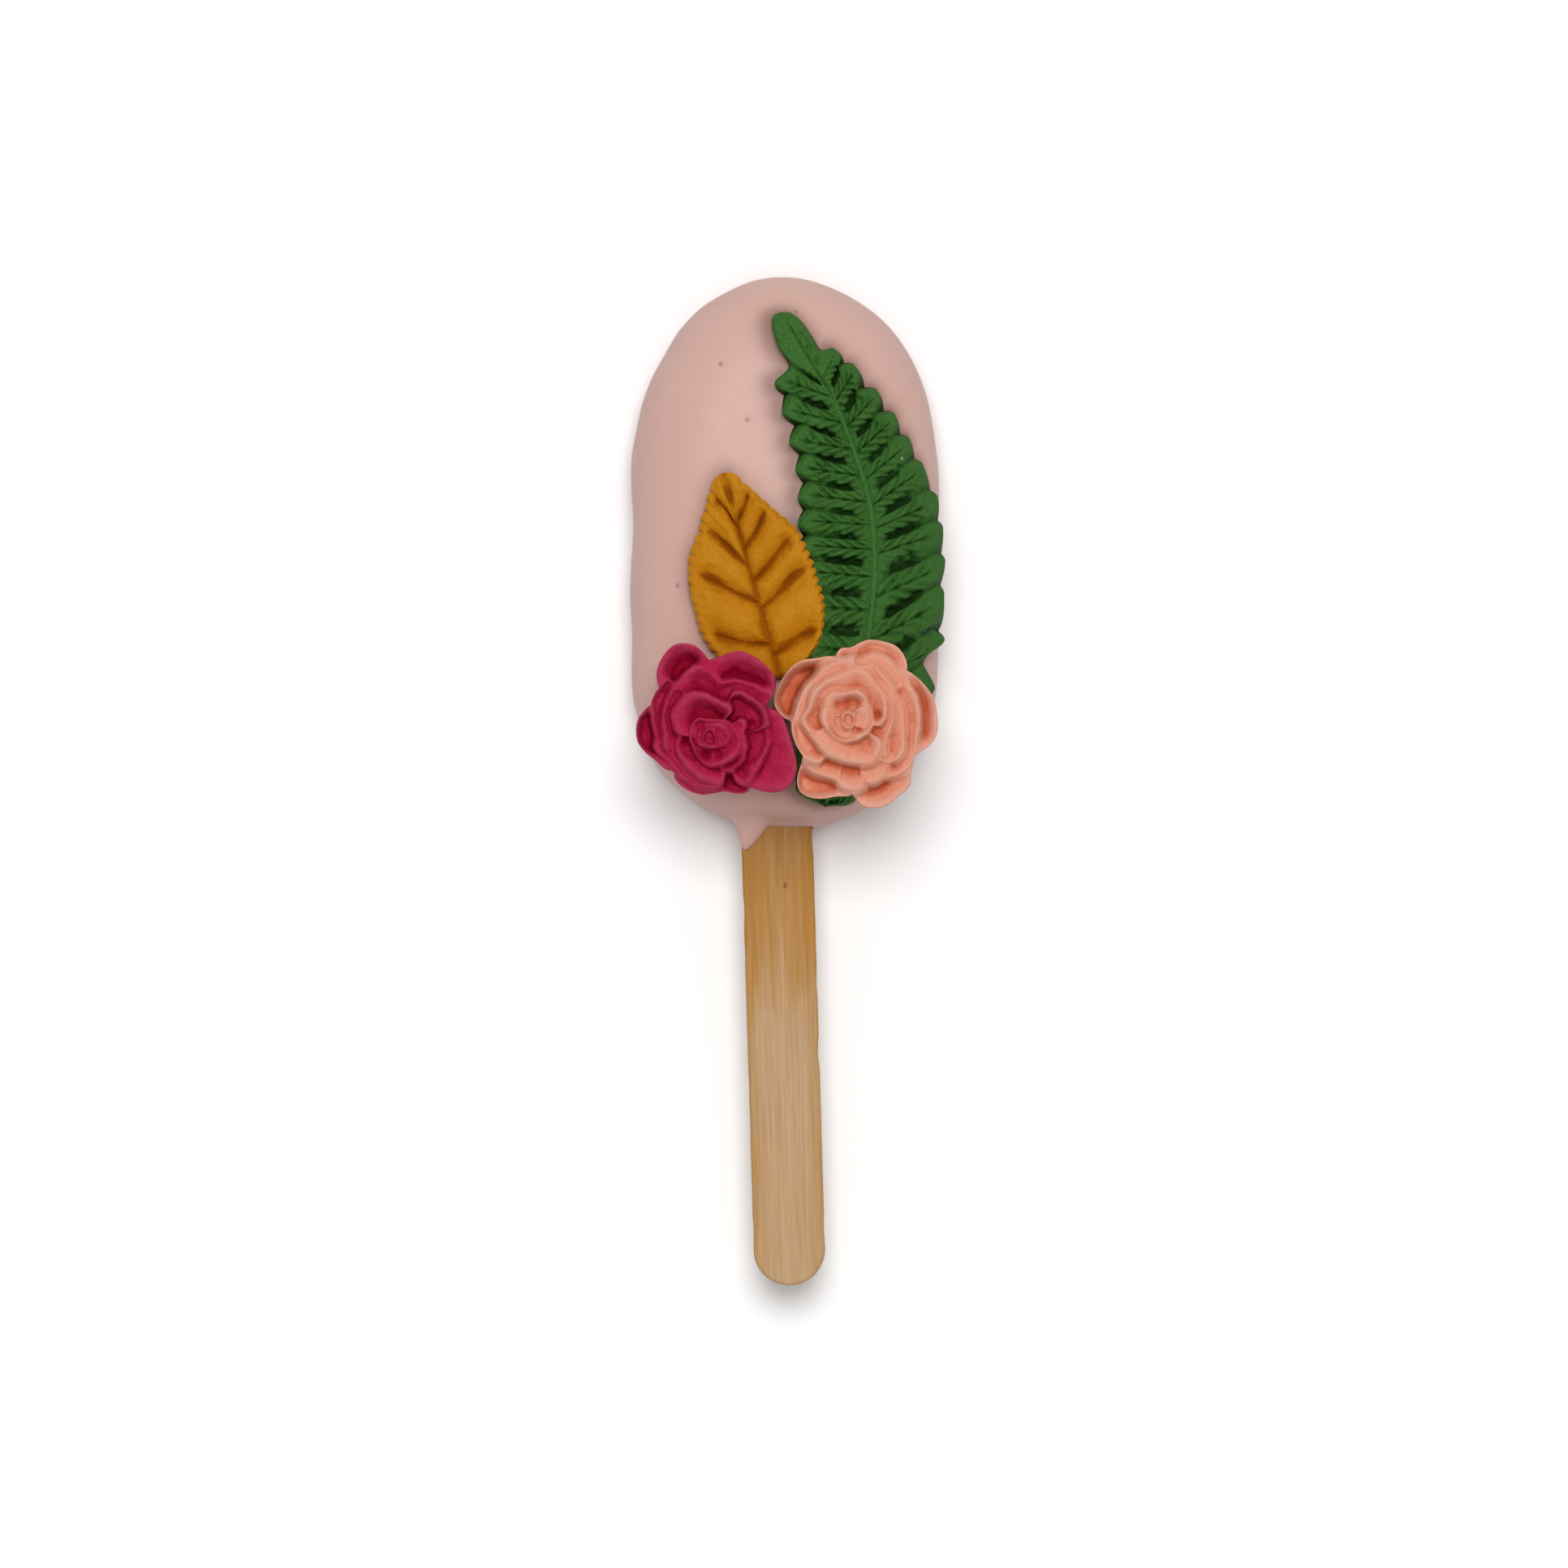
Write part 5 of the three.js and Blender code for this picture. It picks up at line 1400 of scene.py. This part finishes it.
class CAKESICLE_OT_stick(bpy.types.Operator):
    """Add the wooden stick"""
    bl_idname = "cakesicle.stick"
    bl_label = "Stick"

    def execute(self, context):
        build_stick(context.scene.cakesicle_stick)
        return {"FINISHED"}


class CAKESICLE_OT_fern(bpy.types.Operator):
    """Add the fern frond"""
    bl_idname = "cakesicle.fern"
    bl_label = "Fern"

    def execute(self, context):
        build_fern(context.scene.cakesicle_fern)
        return {"FINISHED"}


class CAKESICLE_OT_leaf(bpy.types.Operator):
    """Add the mustard leaf"""
    bl_idname = "cakesicle.leaf"
    bl_label = "Leaf"

    def execute(self, context):
        build_leaf(context.scene.cakesicle_leaf)
        return {"FINISHED"}


class CAKESICLE_OT_roses(bpy.types.Operator):
    """Add the magenta rose and the peach rose"""
    bl_idname = "cakesicle.roses"
    bl_label = "Roses"

    def execute(self, context):
        settings = context.scene.cakesicle_roses
        magenta = PasteColours(settings.magenta_colour, settings.magenta_deep, settings.magenta_pale)
        for rose, colours in zip(ROSES, (magenta, settings.peach)):
            build_rose(rose, settings, colours)
        return {"FINISHED"}


class CAKESICLE_PT_panel(bpy.types.Panel):
    """Lists the pieces of the cakesicle"""
    bl_idname = "CAKESICLE_PT_panel"
    bl_label = "Cakesicle"
    bl_space_type = "VIEW_3D"
    bl_region_type = "UI"
    bl_category = "Cakesicle"

    def draw(self, context):
        for step in STEPS:
            self.layout.operator(step.bl_idname)


SETTINGS = {
    "cakesicle_stage": CakesicleStageSettings,
    "cakesicle_cake": CakesicleCakeSettings,
    "cakesicle_stick": CakesicleStickSettings,
    "cakesicle_fern": CakesicleFernSettings,
    "cakesicle_leaf": CakesicleLeafSettings,
    "cakesicle_roses": CakesicleRoseSettings,
}
STEPS = (
    CAKESICLE_OT_stage, CAKESICLE_OT_stick, CAKESICLE_OT_fern,
    CAKESICLE_OT_leaf, CAKESICLE_OT_roses, CAKESICLE_OT_cake,
)
CLASSES = (CakesicleRoseColours, *SETTINGS.values(), *STEPS, CAKESICLE_PT_panel)


def register():
    for one in CLASSES:
        bpy.utils.register_class(one)
    for name, kind in SETTINGS.items():
        setattr(bpy.types.Scene, name, PointerProperty(type=kind))


def unregister():
    for name in SETTINGS:
        delattr(bpy.types.Scene, name)
    for one in reversed(CLASSES):
        bpy.utils.unregister_class(one)


def main():
    register()
    for step in STEPS:
        group, name = step.bl_idname.split(".")
        getattr(getattr(bpy.ops, group), name)()


if __name__ == "__main__":
    main()
